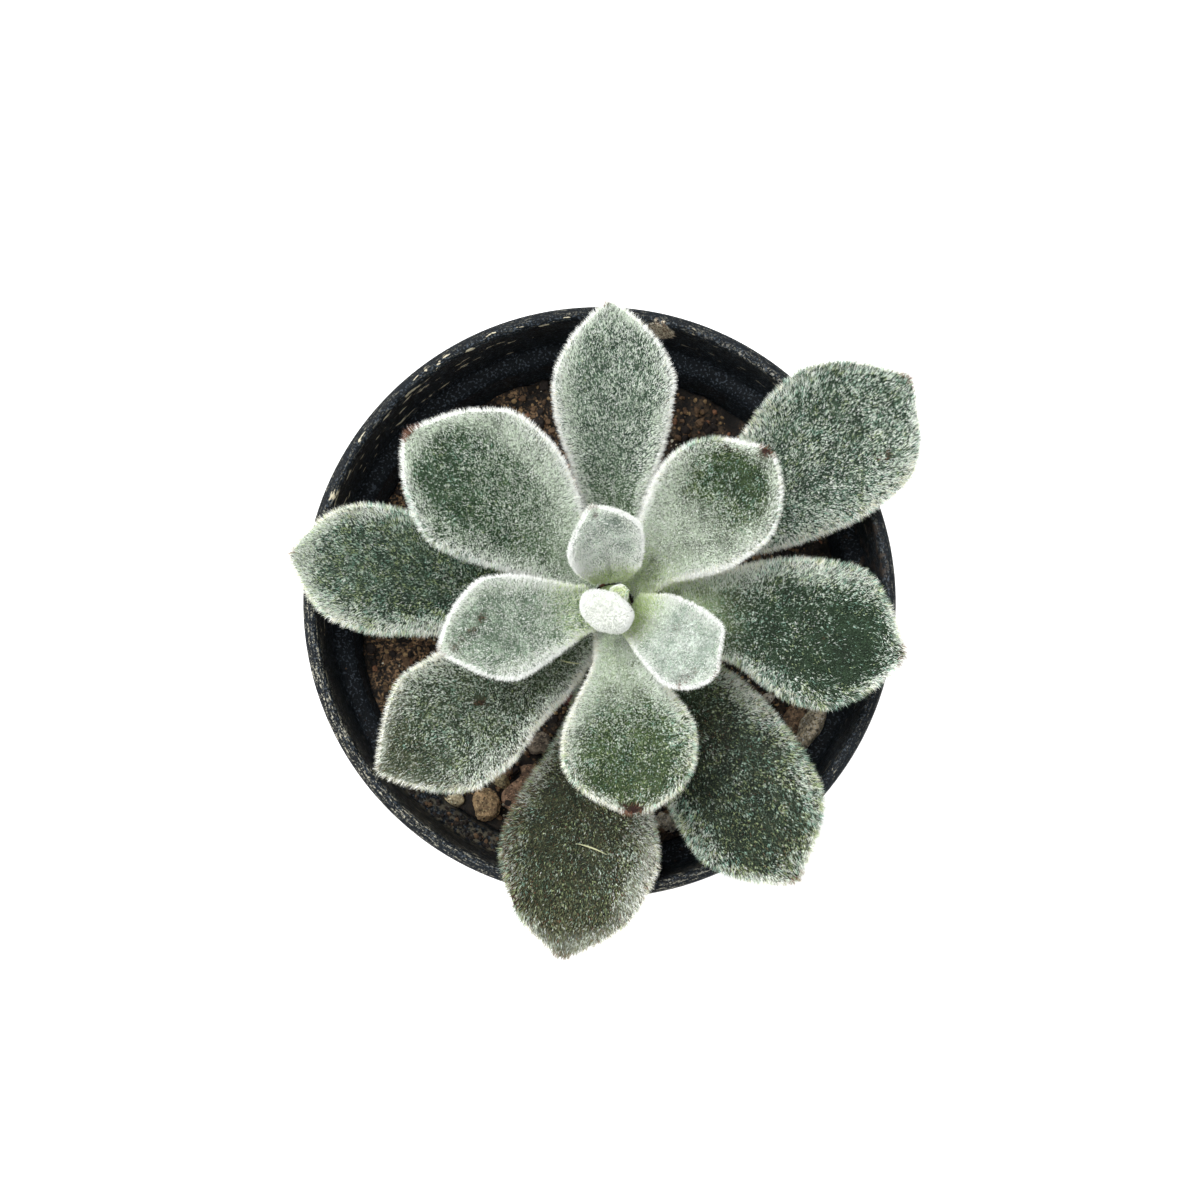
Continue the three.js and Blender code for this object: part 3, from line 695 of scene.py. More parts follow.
def root_hairs(name, leaf, rng):
    """Where the hairs of a leaf stand, and for each the skin's directions and its place on the leaf."""
    points, here = leaf_grid(name, leaf, VELVET_ROWS, VELVET_COLUMNS)
    wrapped = np.concatenate([points, points[:, :1]], axis=1)
    corner = wrapped[:-1, :-1]
    along = wrapped[1:, :-1] - corner
    around = wrapped[:-1, 1:] - corner
    opposite = wrapped[1:, 1:] - wrapped[1:, :-1]
    area = 0.5 * np.linalg.norm(np.cross(around + opposite, along), axis=-1)
    counts = rng.poisson(density(name, leaf, here, corner) * area)
    row, column = np.nonzero(counts)
    repeats = counts[row, column]
    row = np.repeat(row, repeats)
    column = np.repeat(column, repeats)
    u = rng.random((len(row), 1))
    v = rng.random((len(row), 1))
    across = (1 - u) * around[row, column] + u * opposite[row, column]
    roots = corner[row, column] + u * along[row, column] + v * across
    tuft = cloud(roots, TUFT_SIZE, 17)
    kept = rng.random(len(roots)) < 0.62 + FLEECE[name]["tufted"] * tuft
    row, column, roots, tuft, u, v = (part[kept] for part in (row, column, roots, tuft, u, v))

    share, aside = here["along"], here["aside"]
    next_column = (column + 1) % VELVET_COLUMNS
    return {
        "roots": roots, "tuft": tuft, "above": here["above"][row, column],
        "outward": unit(np.cross(around, along))[row, column], "lengthwise": unit(along[row, column]),
        "share": share[row, column] + u[:, 0] * (share[row + 1, column] - share[row, column]),
        "off_centre": aside[row, column] + v[:, 0] * (aside[row, next_column] - aside[row, column]),
    }


# %% How the hairs stand
HAIR_WIDTH = 0.135


def at_edge(off_centre):
    """From 0 on the leaf's faces to 1 at its very margin."""
    return ease((np.abs(off_centre) - 0.8) / 0.2)


def stand_hairs(coat, hairs, rng):
    """Which way each hair points, how long it is and how wide. They lean forward and fan out sideways."""
    roots, off = hairs["roots"], hairs["off_centre"]
    crosswise = np.cross(hairs["outward"], hairs["lengthwise"])
    fan = np.sign(hairs["above"]) * np.sign(off) * (0.1 + 0.6 * np.abs(off) ** 2)
    forward = (0.45 + 0.2 * cloud(roots, 2.2, 29))[:, None] * hairs["lengthwise"]
    sideways = (fan + 0.2 * cloud(roots, 2.2, 11))[:, None] * crosswise
    stray = (0.22 + 0.22 * at_edge(off))[:, None] * rng.normal(size=roots.shape)
    directions = unit(hairs["outward"] + forward + sideways + stray)
    fringe = np.maximum(ease((np.abs(off) - 0.6) / 0.35), ease((hairs["share"] - 0.9) / 0.08))
    lengths = coat["length"] * (0.6 + 0.5 * rng.random(len(roots))) * (0.72 + 0.50 * fringe)
    widths = HAIR_WIDTH * (0.6 + 0.9 * rng.random(len(roots))) * (1 - 0.30 * fringe)
    return directions, lengths, widths


# %% Which colour each hair has
WIDE_LEAF = 10


def colour_hairs(name, leaf, hairs, rng):
    coat = FLEECE[name]
    roots, share, off = hairs["roots"], hairs["share"], hairs["off_centre"]
    whiter = frost_and_painted_light(name, share, off, roots) + 0.15 * cloud(roots, 4.0, 53)
    # Hairs in a tuft draw a higher number and so are whiter, those between tufts darker: a painted highlight
    # on the tufts and painted shade between them.
    pick = 0.24 + 0.57 * rng.random(len(roots)) + 0.55 * hairs["tuft"] + whiter
    looks = np.where(pick < coat["dull"], DULL, np.where(pick < coat["dull"] + coat["silver"], SILVER, MINT))
    tint = cloud(roots, 1.3, 91) + 0.5 * cloud(roots, 0.5, 92) - coat["warm"]
    looks[(looks == MINT) & (tint > 0.25)] = TEAL
    looks[(looks == MINT) & (tint < -0.25)] = LEAFY
    looks[pick > coat["mint"]] = WHITE

    def recolour(chance, colour, among=True):
        """Gives some of the hairs another colour, each with its own chance."""
        looks[among & (rng.random(len(roots)) < chance)] = colour

    # Yellow-green hairs in the painted highlight near the tip.
    recolour(0.35 * coat["end"] * ease((share - 0.75) / 0.2), LEAFY, looks != DULL)
    if not is_young(leaf):
        recolour(coat["cream"] * at_edge(off), CREAM, looks == WHITE)
    if leaf["wide"] > WIDE_LEAF:
        recolour((0.2 if is_young(leaf) else 0.5) * (1 - at_edge(off)), PALE, looks == WHITE)
    olive = np.maximum(coat["olive"], coat["olive_tip"] * ease((share - 0.70) / 0.2))
    recolour(olive * (1 - 0.7 * at_edge(off)), OLIVE)
    # Lime hairs at the foot, partly painted light shining through it.
    recolour(coat["lime"] * ease((0.38 - share) / 0.3), LIME)
    rusty = np.maximum(coat["rust"], coat["tip"] * ease((share - 0.965) / 0.03))
    spotted = mark_strength(name, share, off, half_width(leaf, share), leaf["long"])
    recolour(np.maximum(rusty, spotted * (0.75 + 1.1 * cloud(roots, 0.9, 73))), RUST)
    return looks


# %% Grow the velvet
HAIR_SUNK = 0.06


def velvet(name, leaf):
    """All the hairs of a leaf in one mesh: slim blades, each one triangle that faces its own way."""
    rng = np.random.default_rng(name_seed(name, 7))
    hairs = root_hairs(name, leaf, rng)
    directions, lengths, widths = stand_hairs(FLEECE[name], hairs, rng)
    looks = colour_hairs(name, leaf, hairs, rng)
    side = unit(np.cross(directions, unit(rng.normal(size=directions.shape))))
    offset = 0.5 * widths[:, None] * side
    foot = hairs["roots"] - HAIR_SUNK * directions
    tip = hairs["roots"] + lengths[:, None] * directions
    blades = np.stack([foot - offset, foot + offset, tip], axis=1).reshape(-1, 3)
    triangles = np.arange(len(blades)).reshape(-1, 3)
    piece = make_piece(name + "_velvet", blades, triangles, HAIRS, smooth=False, looks=looks)
    "young_leaf" if is_young(leaf) else "old_leaf"
    return len(triangles)


hair_counts = {name: velvet(name, leaf) for name, leaf in LEAVES.items()}
print("hairs:", sum(hair_counts.values()), "the most on one leaf:", max(hair_counts.values()))

# %% [markdown]
# ## Two dry slivers
# Thin bits of straw have fallen on two of the leaves. Each is a slim three-sided strip that is bowed as the
# leaf under it is, lifted just onto the hairs.

# %% Slivers that lie on the leaves
# Each: on which leaf, from where to where as along and aside, and how wide in millimetres.
SLIVERS = {
    "sliver_01": ("leaf_01", (0.672, -0.04), (0.690, 0.40), 0.26),
    "sliver_02": ("leaf_06", (0.215, 0.30), (0.160, 0.88), 0.26),
}
SLIVER_LIFT = 0.7
SLIVER_THICKNESS = 0.12
SLIVER_STEPS = 9
straw = Finish("dry_straw", base_color=(0.55, 0.56, 0.34), roughness=0.7).material


def place_on_leaf(name, along, aside):
    """The point of a leaf's upper skin at a place given by how far along and how far aside it is."""
    points, here = leaf_grid(name, LEAVES[name], VELVET_ROWS, 2 * VELVET_COLUMNS)
    row = int(np.argmin(np.abs(here["along"][:, 0] - along)))
    column = round(math.acos(aside) / math.pi * VELVET_COLUMNS)
    return points[row, column]


def make_sliver(name, leaf_name, start, stop, width):
    steps = np.linspace(0, 1, SLIVER_STEPS)
    halfway = (0.5 * (start[0] + stop[0]), 0.5 * (start[1] + stop[1]))
    first, middle, last = (place_on_leaf(leaf_name, *place) for place in (start, halfway, stop))
    bow = (4 * steps * (1 - steps))[:, None] * (middle - 0.5 * (first + last))
    spine = first + steps[:, None] * (last - first) + bow + [0, 0, SLIVER_LIFT]
    across = unit(np.cross(spine[-1] - spine[0], [0, 0, 1.0]))
    reach = 0.5 * width * np.sin(np.pi * (0.08 + 0.84 * steps))[:, None] * across
    rings = np.stack([spine - reach, spine + [0, 0, SLIVER_THICKNESS], spine + reach], axis=1)
    points, triangles = tube(rings.reshape(-1, 3), SLIVER_STEPS, 3)
    piece = make_piece(name, points, triangles, straw, smooth=False)


for name, sliver in SLIVERS.items():
    make_sliver(name, *sliver)
print("slivers:", len(SLIVERS))

# %% [markdown]
# ## The pot
# A nursery pot is blown or pressed from thin black plastic: a rolled lip, a straight collar, a small step
# that lets pots stack, and a tapering wall. The frame's pot has sixty flat sides, which would show
# in the gloss of the lip, so a finer one is turned here on the same profile, with rounded edges.

# %% The pot's measures
WALL = 1.4
LIP_WIDTH = 2.3
LIP_DROP = 5.5
COLLAR_FOOT_RADIUS = 49.3
COLLAR_FOOT_HEIGHT = 76.5
LEDGE_HEIGHT = 75.5
LEDGE_RADIUS = 46.1
FLOOR_RADIUS = 36.6
FLOOR_TOP = 3.8
FLOOR_UNDERSIDE = 2.0
CENTRE_PAD_RADIUS = 12.0
FOOT_RING_WIDTH = 4.0
POT_SIDES = 180


def pot_inner_radius(z):
    return FLOOR_RADIUS + (z - FLOOR_TOP) * (LEDGE_RADIUS - FLOOR_RADIUS) / (LEDGE_HEIGHT - FLOOR_TOP)


print("the pot's walls, mm thick:", WALL, "and its lip:", LIP_WIDTH)


# %% The pot's profile
def rounded(corners, radii, steps=5):
    """A line through the corners, in which each corner is an arc of about its radius."""
    corners = [np.array(c, float) for c in corners]
    line = [corners[0]]
    for before, here, after, radius in zip(corners, corners[1:], corners[2:], radii):
        back, ahead = unit(before - here), unit(after - here)
        reach = min(radius, 0.45 * np.linalg.norm(before - here), 0.45 * np.linalg.norm(after - here))
        for t in np.linspace(0, 1, steps):
            bend = (1 - t) ** 2 * back + t ** 2 * ahead
            line.append(here + reach * bend)
    line.append(corners[-1])
    return np.array(line)


foot_radius = pot_inner_radius(0) + WALL
# Each corner: its distance from the pot's axis, its height, and how far it is rounded.
POT_CORNERS = [
    (0.0, 0.0, 0.0), (CENTRE_PAD_RADIUS, 0.0, 0.3), (CENTRE_PAD_RADIUS + 1, FLOOR_UNDERSIDE, 0.5),
    (foot_radius - FOOT_RING_WIDTH - 1, FLOOR_UNDERSIDE, 0.5), (foot_radius - FOOT_RING_WIDTH, 0.0, 0.3),
    (foot_radius, 0.0, 1.0), (LEDGE_RADIUS + WALL, LEDGE_HEIGHT - 1.2, 0.6),
    (COLLAR_FOOT_RADIUS + WALL, COLLAR_FOOT_HEIGHT - 0.6, 0.8),
    (LIP_RADIUS - 1.3, LIP_HEIGHT - LIP_DROP, 0.4), (LIP_RADIUS, LIP_HEIGHT - LIP_DROP + 0.2, 0.5),
    (LIP_RADIUS, LIP_HEIGHT, 1.3), (LIP_RADIUS - LIP_WIDTH, LIP_HEIGHT, 1.1),
    (COLLAR_FOOT_RADIUS, COLLAR_FOOT_HEIGHT, 0.8), (LEDGE_RADIUS, LEDGE_HEIGHT, 1.2),
    (FLOOR_RADIUS, FLOOR_TOP, 1.5), (0.0, FLOOR_TOP, 0.0),
]


def split_long(line, longest):
    """The same line with more points, none further apart than longest."""
    made = [line[0]]
    for before, after in zip(line, line[1:]):
        parts = max(1, math.ceil(np.linalg.norm(after - before) / longest))
        made += [before + (after - before) * (i + 1) / parts for i in range(parts)]
    return np.array(made)


LONGEST_STEP = 9.0
profile = rounded([c[:2] for c in POT_CORNERS], [c[2] for c in POT_CORNERS[1:-1]])
profile = split_long(profile, LONGEST_STEP)
print("points in the pot's profile:", len(profile))

# %% [markdown]
# ## The plastic
# An old nursery pot isn't plain black. Its lip is scuffed, pale flecks stick to the collar, dust and dried
# dirt lie inside it, and splashes of soil dry at its foot. Where each of these may lie is a number that the
# mesh carries at its points, and what it looks like there comes from noise. Scuffs run round the pot, so
# their noise is drawn in a place that changes slowly round the pot and fast across it.

# %% The plastic's finish
# Each: where it lies, the size of its blotches, their detail and roughness, between which heights of the
# noise it begins, and its colour.
DIRT = [
    ("dusty", 0.8, 4.0, 0.8, 0.50, 0.60, (0.46, 0.44, 0.38)),
    ("dirty", 2.0, 5.0, 0.7, 0.50, 0.62, (0.055, 0.042, 0.034)),
    ("grimy", 1.3, 5.0, 0.75, 0.47, 0.57, (0.125, 0.112, 0.080)),
    ("splashed", 3.0, 6.0, 0.7, 0.52, 0.66, (0.085, 0.065, 0.045)),
]
# A patch of dried dirt inside the collar: its place, and how far it spreads each way.
PATCH_AT = (10.8, 49.0, 86.0)
PATCH_SPREAD = (3.4, 4.5, 4.4)


def plastic_finish():
    finish = Finish("nursery_plastic", specular_ior_level=0.09)
    around = finish.mesh_place("round")
    inner = finish.mesh_value("inner")
    film = finish.noise(6.0, detail=6.0, roughness=0.7).ramp(0.42, 0.7)
    grain = finish.noise(0.45, detail=2.0).ramp(0.54, 0.64)
    colour = finish.blend(film * 0.5, (0.0065, 0.0085, 0.0108), (0.0160, 0.0210, 0.0265))
    colour = finish.blend(grain * (0.12 + 0.5 * inner), colour, (0.080, 0.100, 0.124))
    streaks = finish.noise(2.4, detail=6.0, roughness=0.8, at=around).ramp(0.52, 0.58)
    broken = finish.noise(0.4, detail=3.0, roughness=0.7).ramp(0.46, 0.56)
    colour = finish.blend(finish.mesh_value("worn") * streaks * broken, colour, (0.52, 0.50, 0.40))
    flecked = finish.mesh_value("flecked")
    flecks = finish.noise(4.0, detail=3.0, roughness=0.6, at=finish.mesh_place("wall")) + 0.05 * flecked
    colour = finish.blend(flecks.ramp(0.665, 0.68) * flecked.ramp(0.1, 0.5), colour, (0.60, 0.55, 0.41))
    for where, size, detail, roughness, low, high, shade in DIRT:
        blotches = finish.noise(size, detail=detail, roughness=roughness).ramp(low, high)
        colour = finish.blend(finish.mesh_value(where) * blotches, colour, shade)
    centre = tuple(at / spread for at, spread in zip(PATCH_AT, PATCH_SPREAD))
    away = finish.node("VectorMath", {"operation": "DISTANCE"}, {0: finish.place(PATCH_SPREAD), 1: centre}, 1)
    patch = 1 - (away + 0.9 * finish.noise(1.1, detail=5.0, roughness=0.7)).ramp(1.25, 1.4)
    dried = finish.blend(broken, (0.22, 0.16, 0.11), (0.85, 0.77, 0.60))
    colour = finish.blend(patch * inner, colour, dried)
    mould_rings = finish.noise(1.5, detail=3.0, at=around)
    relief = finish.noise(0.9, detail=4.0) + 1.5 * mould_rings
    return finish.paint(colour, 0.42 + 0.3 * film, relief, relief_depth=0.05)


PLASTIC = plastic_finish()

# %% Where the pot is worn and dirty
rings = profile[1:-1]
radius, height = rings[:, :1], rings[:, 1:]
angle = np.linspace(0, 2 * math.pi, POT_SIDES, endpoint=False)
walked = np.concatenate([[0], np.cumsum(np.linalg.norm(np.diff(rings, axis=0), axis=1))])[:, None]
inside = walked > walked[np.argmax(height)]


def facing(towards, spread):
    """1 on the side of the pot that faces a compass direction, 0 beyond the spread, in degrees."""
    off = np.abs((np.degrees(angle) - towards + 180) % 360 - 180)
    return 1 - ease(off / spread)


def near(distance, spread):
    return np.exp(-((distance / spread) ** 2))


inner_edge = walked[np.argmin(np.abs(radius - LIP_RADIUS + LIP_WIDTH) + np.abs(height - LIP_HEIGHT))]
places = {
    "worn": near(height - LIP_HEIGHT, 2.2) * (0.22 + 0.78 * facing(205, 75) + 0.4 * facing(285, 40))
            + inside * (height > LEDGE_HEIGHT + 2) * 0.25 * facing(235, 60),
    "flecked": np.where(inside, 1, 0.25) * (0.3 + 0.7 * facing(140, 60)) * ease((height - LEDGE_HEIGHT) / 4),
    "dirty": inside * (height > LEDGE_HEIGHT) * facing(10, 14),
    "dusty": near(walked - inner_edge, 0.5) * facing(52, 22),
    "splashed": 0.55 * ease((16 - height) / 16) * (1 - inside) + 0 * angle,
    "grimy": inside * near(height - LEDGE_HEIGHT - 1.2, 2.2) * facing(246, 42),
    "inner": inside + 0 * angle,
}
places = {label: np.append(numbers, [0, 0]) for label, numbers in places.items()}
print("values at the pot's points:", ", ".join(places))

# %% Turn the pot
round_place = np.stack(np.broadcast_arrays(50 * np.cos(angle), 50 * np.sin(angle), 9 * walked), -1)
places["round"] = np.vstack([round_place.reshape(-1, 3), [0, 0, 0], [0, 0, 9]])
places["wall"] = places["round"] * [1, 1, 1 / 3]
ring_points = np.stack(np.broadcast_arrays(radius * np.cos(angle), radius * np.sin(angle), height), -1)
pot_points, triangles = tube(ring_points.reshape(-1, 3), len(rings), POT_SIDES)
pot = make_piece("nursery_pot", pot_points, triangles, PLASTIC, values=places)
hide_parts("pot")

# %% Cut the drainage holes
DRAIN_HOLES = 8
DRAIN_RADIUS = 4.0
DRAIN_CIRCLE = 23.0
DRAIN_SIDES = 32


def hole_cutter():
    """One mesh with a cylinder through the floor at each hole."""
    made = bpy.data.meshes.new("drill")
    shape = bmesh.new()
    for i in range(DRAIN_HOLES):
        turn = math.radians((i + 0.5) * 360 / DRAIN_HOLES)
        place = Vector((DRAIN_CIRCLE * math.cos(turn), DRAIN_CIRCLE * math.sin(turn), FLOOR_TOP / 2))
        bmesh.ops.create_cone(shape, cap_ends=True, segments=DRAIN_SIDES, radius1=DRAIN_RADIUS,
                              radius2=DRAIN_RADIUS, depth=3 * FLOOR_TOP, matrix=Matrix.Translation(place))
    bmesh.ops.scale(shape, vec=(MM, MM, MM), verts=shape.verts)
    shape.to_mesh(made)
    shape.free()
    drill = bpy.data.objects.new("drill", made)
    bpy.context.scene.collection.objects.link(drill)
    return drill


def cut(piece, drill):
    """Cuts the drill out of the piece for good and removes the drill."""
    cutting = piece.modifiers.new("holes", "BOOLEAN")
    cutting.object = drill
    cutting.solver = "EXACT"
    bpy.context.view_layer.update()
    shaped = bpy.data.meshes.new_from_object(piece.evaluated_get(bpy.context.evaluated_depsgraph_get()))
    piece.modifiers.clear()
    piece.data = shaped
    bpy.data.objects.remove(drill)


cut(pot, hole_cutter())
print("pot faces:", len(pot.data.polygons))

# %% [markdown]
# ## The soil
# The mix is coarse: dark brown fibre with tan and reddish grains, banked up against the wall at the front.
# Its height is the frame's formula with finer unevenness on top. Its colour is lighter on the left, painted
# light where the light falls between the leaves. It is near black in its low spots, painted shade, and in the
# front left corner, a painted shadow of the leaves over it.

# %% The soil's height
SOIL_LEVEL = 68.0


def soil_height(x, y):
    radius = np.hypot(x, y)
    compass = np.arctan2(y, x)
    edge = ease((radius - 22) / 22)
    bank_left = 4.2 * np.maximum(0, np.cos(compass - math.radians(236))) ** 2
    bank_right = 3.6 * np.maximum(0, np.cos(compass - math.radians(325))) ** 3
    mound = 0.8 * np.exp(-((radius / 16) ** 2))
    lumps = 0.45 * np.sin(0.42 * x + 1.3) * np.cos(0.37 * y - 0.4) + 0.3 * np.sin(0.83 * x - 0.71 * y)
    return SOIL_LEVEL + edge * (bank_left + bank_right) + mound + lumps


def clods(x, y):
    """How much higher or lower than the smooth soil each place is."""
    flat = np.stack([x, y, 0 * x], -1).reshape(-1, 3)
    rough = 0.9 * cloud(flat, 2.8, 5) + 0.7 * cloud(flat, 1.4, 6) + 0.25 * cloud(flat, 0.7, 7)
    return rough.reshape(np.shape(x))


print("soil in the middle of the pot, mm above the floor:", round(float(soil_height(0.0, 0.0)), 1))


# %% The soil's finish
def soil_finish():
    finish = Finish("potting_mix", roughness=0.9)
    blotch = finish.noise(4.0, detail=5.0, roughness=0.65).ramp(0.35, 0.7)
    fine = finish.noise(0.6, detail=3.0).ramp(0.46, 0.62)
    colour = finish.blend(blotch, (0.007, 0.006, 0.005), (0.055, 0.038, 0.024))
    # Tan speckles and a lighter tone on the left: painted light where the light falls between the leaves.
    colour = finish.blend(fine * finish.mesh_value("dry"), colour, (0.37, 0.23, 0.12))
    colour = finish.blend(finish.noise(0.7, detail=2.0).ramp(0.56, 0.62), colour, (0.004, 0.003, 0.003))
    # Near black in the soil's low spots and in the front left corner: painted shade.
    colour = finish.blend(finish.mesh_value("painted_shade"), colour, (0.003, 0.0025, 0.002))
    return finish.paint(colour, relief=finish.noise(0.5, detail=4.0), relief_depth=0.25)


SOIL = soil_finish()

# %% Draw the soil
SOIL_RINGS = 80
SOIL_SIDES = 220
SOIL_GAP = 0.15
SKIRT_HEIGHT = 40.0
share = np.linspace(0.004, 1, SOIL_RINGS)[:, None]
angle = np.linspace(0, 2 * math.pi, SOIL_SIDES, endpoint=False)
edge = pot_inner_radius(soil_height(45 * np.cos(angle), 45 * np.sin(angle))) - SOIL_GAP
x = share * edge * np.cos(angle)
y = share * edge * np.sin(angle)
rings = [np.stack([x, y, soil_height(x, y) + clods(x, y)], -1).reshape(-1, 3)]
foot_z = FLOOR_TOP + 0.3
for r, z in ((pot_inner_radius(SKIRT_HEIGHT) - SOIL_GAP, SKIRT_HEIGHT),
             (pot_inner_radius(foot_z) - SOIL_GAP, foot_z), (0.2, foot_z)):
    rings.append(np.stack([r * np.cos(angle), r * np.sin(angle), z + 0 * angle], -1))
soil_points, triangles = tube(np.vstack(rings), SOIL_RINGS + 3, SOIL_SIDES)
# Painted light: lighter on the left, where the light falls between the leaves.
dry = 0.12 + 0.85 * ease((10 - soil_points[:, 0]) / 36) * ease((soil_points[:, 1] + 30) / 22)
# Painted shade: near black in the low spots between clods, and a painted shadow in the front left corner under
# the leaves.
painted_shade = 0.9 * ease((0.15 - clods(soil_points[:, 0], soil_points[:, 1])) / 0.6)
painted_front_shadow = 0.8 * np.exp(-((soil_points[:, 0] + 23) ** 2 + (soil_points[:, 1] + 38) ** 2) / 90)
painted_shade = np.maximum(painted_shade, painted_front_shadow)
soil = make_piece("soil_bed", soil_points, triangles[:, ::-1], SOIL, values={"dry": dry, "painted_shade": painted_shade})
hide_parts("soil")
print("soil triangles:", len(triangles))

# %% [markdown]
# ## The grains
# Grains of a few sizes and colours are scattered over the soil. Each one is a small chipped lump that is
# partly sunk in, and all the grains of a kind share one mesh, since thousands of objects would be slow. Some,
# most of them dark, have fallen on the pot's step at the front.

# %% Lumps
def ball(steps):
    """Points and triangles of a sphere that is an icosahedron split steps times."""
    made = bpy.data.meshes.new("ball")
    shape = bmesh.new()
    bmesh.ops.create_icosphere(shape, subdivisions=steps, radius=1.0)
    shape.to_mesh(made)
    shape.free()
    points = np.array([v.co[:] for v in made.vertices])
    faces = np.array([p.vertices[:] for p in made.polygons])
    bpy.data.meshes.remove(made)
    return points, faces


BALL_POINTS, BALL_FACES = ball(1)


def lumps(places, sizes, rng):
    """Many chipped lumps in one mesh, each flattened and turned its own way."""
    count = len(places)
    turns = np.linalg.qr(rng.normal(size=(count, 3, 3)))[0]
    stretch = 0.65 + 0.5 * rng.random((count, 1, 3))
    chips = 0.8 + 0.4 * rng.random((count, len(BALL_POINTS), 1))
    shaped = np.einsum("nij,nkj->nki", turns, BALL_POINTS[None] * chips * stretch)
    points = shaped * sizes[:, None, None] + places[:, None]
    triangles = BALL_FACES[None] + len(BALL_POINTS) * np.arange(count)[:, None, None]
    return points.reshape(-1, 3), triangles.reshape(-1, 3)


# %% Scatter the grains
# Each: its colour, how many, the smallest and the largest size, and how many crumbs on the step.
GRAIN_KINDS = {
    "grains_dark": ((0.020, 0.014, 0.011), 900, 0.40, 1.20, 210),
    "grains_brown": ((0.145, 0.088, 0.047), 2200, 0.25, 0.95, 40),
    "grains_tan": ((0.310, 0.205, 0.100), 2200, 0.14, 0.62, 0),
    "grains_red": ((0.230, 0.110, 0.058), 500, 0.25, 0.80, 0),
    "grains_pale": ((0.72, 0.66, 0.52), 240, 0.16, 0.42, 2),
}
GRAINS_REACH = 44.2


def scatter(name, colour, count, smallest, largest, crumbs, seed):
    """Lumps that are partly sunk in the soil, and crumbs that fell on the pot's step at the front."""
    rng = np.random.default_rng(seed)
    finish = Finish(name, roughness=0.9)
    shade = finish.noise(0.9, detail=3.0).ramp(0.3, 0.75)
    mixed = finish.blend(shade, tone(colour, 0.55), tone(colour, 1.25))
    material = finish.paint(mixed, relief=finish.noise(0.3), relief_depth=0.08)
    sizes = smallest + (largest - smallest) * rng.random(count) ** 2
    radius = np.sqrt(rng.random(count)) * GRAINS_REACH
    compass = 2 * math.pi * rng.random(count)
    x = radius * np.cos(compass)
    y = radius * np.sin(compass)
    z = soil_height(x, y) + clods(x, y) + 0.25 * sizes
    on_soil = np.stack([x, y, z], -1)
    radius = LEDGE_RADIUS + 0.6 + 2.4 * rng.random(crumbs)
    compass = np.radians(246 + 17 * rng.normal(size=crumbs))
    crumb_sizes = 0.15 + 0.45 * rng.random(crumbs) ** 2
    z = LEDGE_HEIGHT + 0.3 * (radius - LEDGE_RADIUS) + 0.3 * crumb_sizes
    on_ledge = np.stack([radius * np.cos(compass), radius * np.sin(compass), z], -1)
    points, faces = lumps(np.vstack([on_soil, on_ledge]), np.append(sizes, crumb_sizes), rng)
    piece = make_piece(name, points, faces, material, smooth=False)


for seed, (name, kind) in enumerate(GRAIN_KINDS.items()):
    scatter(name, *kind, 70 + seed)
print("grains:", sum(kind[1] for kind in GRAIN_KINDS.values()))

# %% [markdown]
# ## The stones
# A few stones and bits of fired clay lie on the soil where the light reaches between the leaves. Each starts
# as a ball that is chipped by planes, roughened by noise and stretched to its size. Four small pebbles that
# aren't in the frame fill the gaps between them.

# %% The stones' places and sizes
# Each: where it lies, how wide, long and high it is, how far it is turned, its colour, and how far it is
# lifted where it leans on another.
STONES = {
    "stone_01": ((-21.0, -37.0), (5.6, 6.6, 4.6), 100, (0.44, 0.295, 0.16)),
    "stone_02": ((-28.8, -32.3), (4.2, 4.6, 3.4), 20, (0.42, 0.31, 0.165)),
    "stone_03": ((-17.6, -30.6), (3.2, 3.6, 2.6), 60, (0.19, 0.12, 0.075)),
    "stone_04": ((-11.6, -35.0), (5.4, 12.5, 4.0), 112, (0.28, 0.18, 0.115)),
    "stone_05": ((-11.3, -25.6), (4.2, 5.0, 3.4), 35, (0.22, 0.18, 0.135)),
    "stone_06": ((36.6, -20.8), (5.2, 9.0, 4.2), 70, (0.27, 0.18, 0.11)),
    "stone_07": ((31.6, -17.4), (2.4, 2.8, 2.2), 10, (0.62, 0.56, 0.45)),
    "stone_08": ((12.4, -40.2), (4.2, 4.8, 3.4), 150, (0.68, 0.61, 0.48)),
    "stone_09": ((-5.6, -17.2), (2.4, 3.4, 2.0), 25, (0.11, 0.035, 0.028)),
}
# Smaller ones, which the frame leaves out.
PEBBLES = {
    "pebble_01": ((-26.9, -35.9), (4.4, 4.0, 3.4), 10, (0.50, 0.42, 0.26)),
    "pebble_02": ((-18.4, -32.6), (3.8, 3.4, 3.0), 70, (0.36, 0.30, 0.17)),
    "pebble_03": ((39.0, -22.4), (4.4, 9.5, 4.4), 60, (0.60, 0.51, 0.36), 3.1),
    "pebble_04": ((-15.2, -34.8), (4.6, 7.4, 3.8), 50, (0.36, 0.225, 0.145)),
}

# %% The stones' finish
def stone_finish(name, colour):
    finish = Finish(name + "_finish", roughness=0.85)
    patches = finish.noise(1.4, detail=5.0, roughness=0.75).ramp(0.42, 0.58)
    mixed = finish.blend(patches, tone(colour, 0.5), tone(colour, 1.3))
    speckles = finish.noise(0.35, detail=2.0).ramp(0.58, 0.66)
    mixed = finish.blend(speckles * 0.85, mixed, tone(colour, 2.2, most=0.8))
    pits = finish.noise(0.6, detail=3.0).ramp(0.57, 0.64)
    mixed = finish.blend(pits, mixed, tone(colour, 0.2))
    return finish.paint(mixed, relief=finish.noise(0.7, detail=5.0, roughness=0.7), relief_depth=0.35)


# %% Chip the stones
STONE_SINK = 0.38
CHIP_PLANES = 9
STONE_POINTS, STONE_FACES = ball(4)


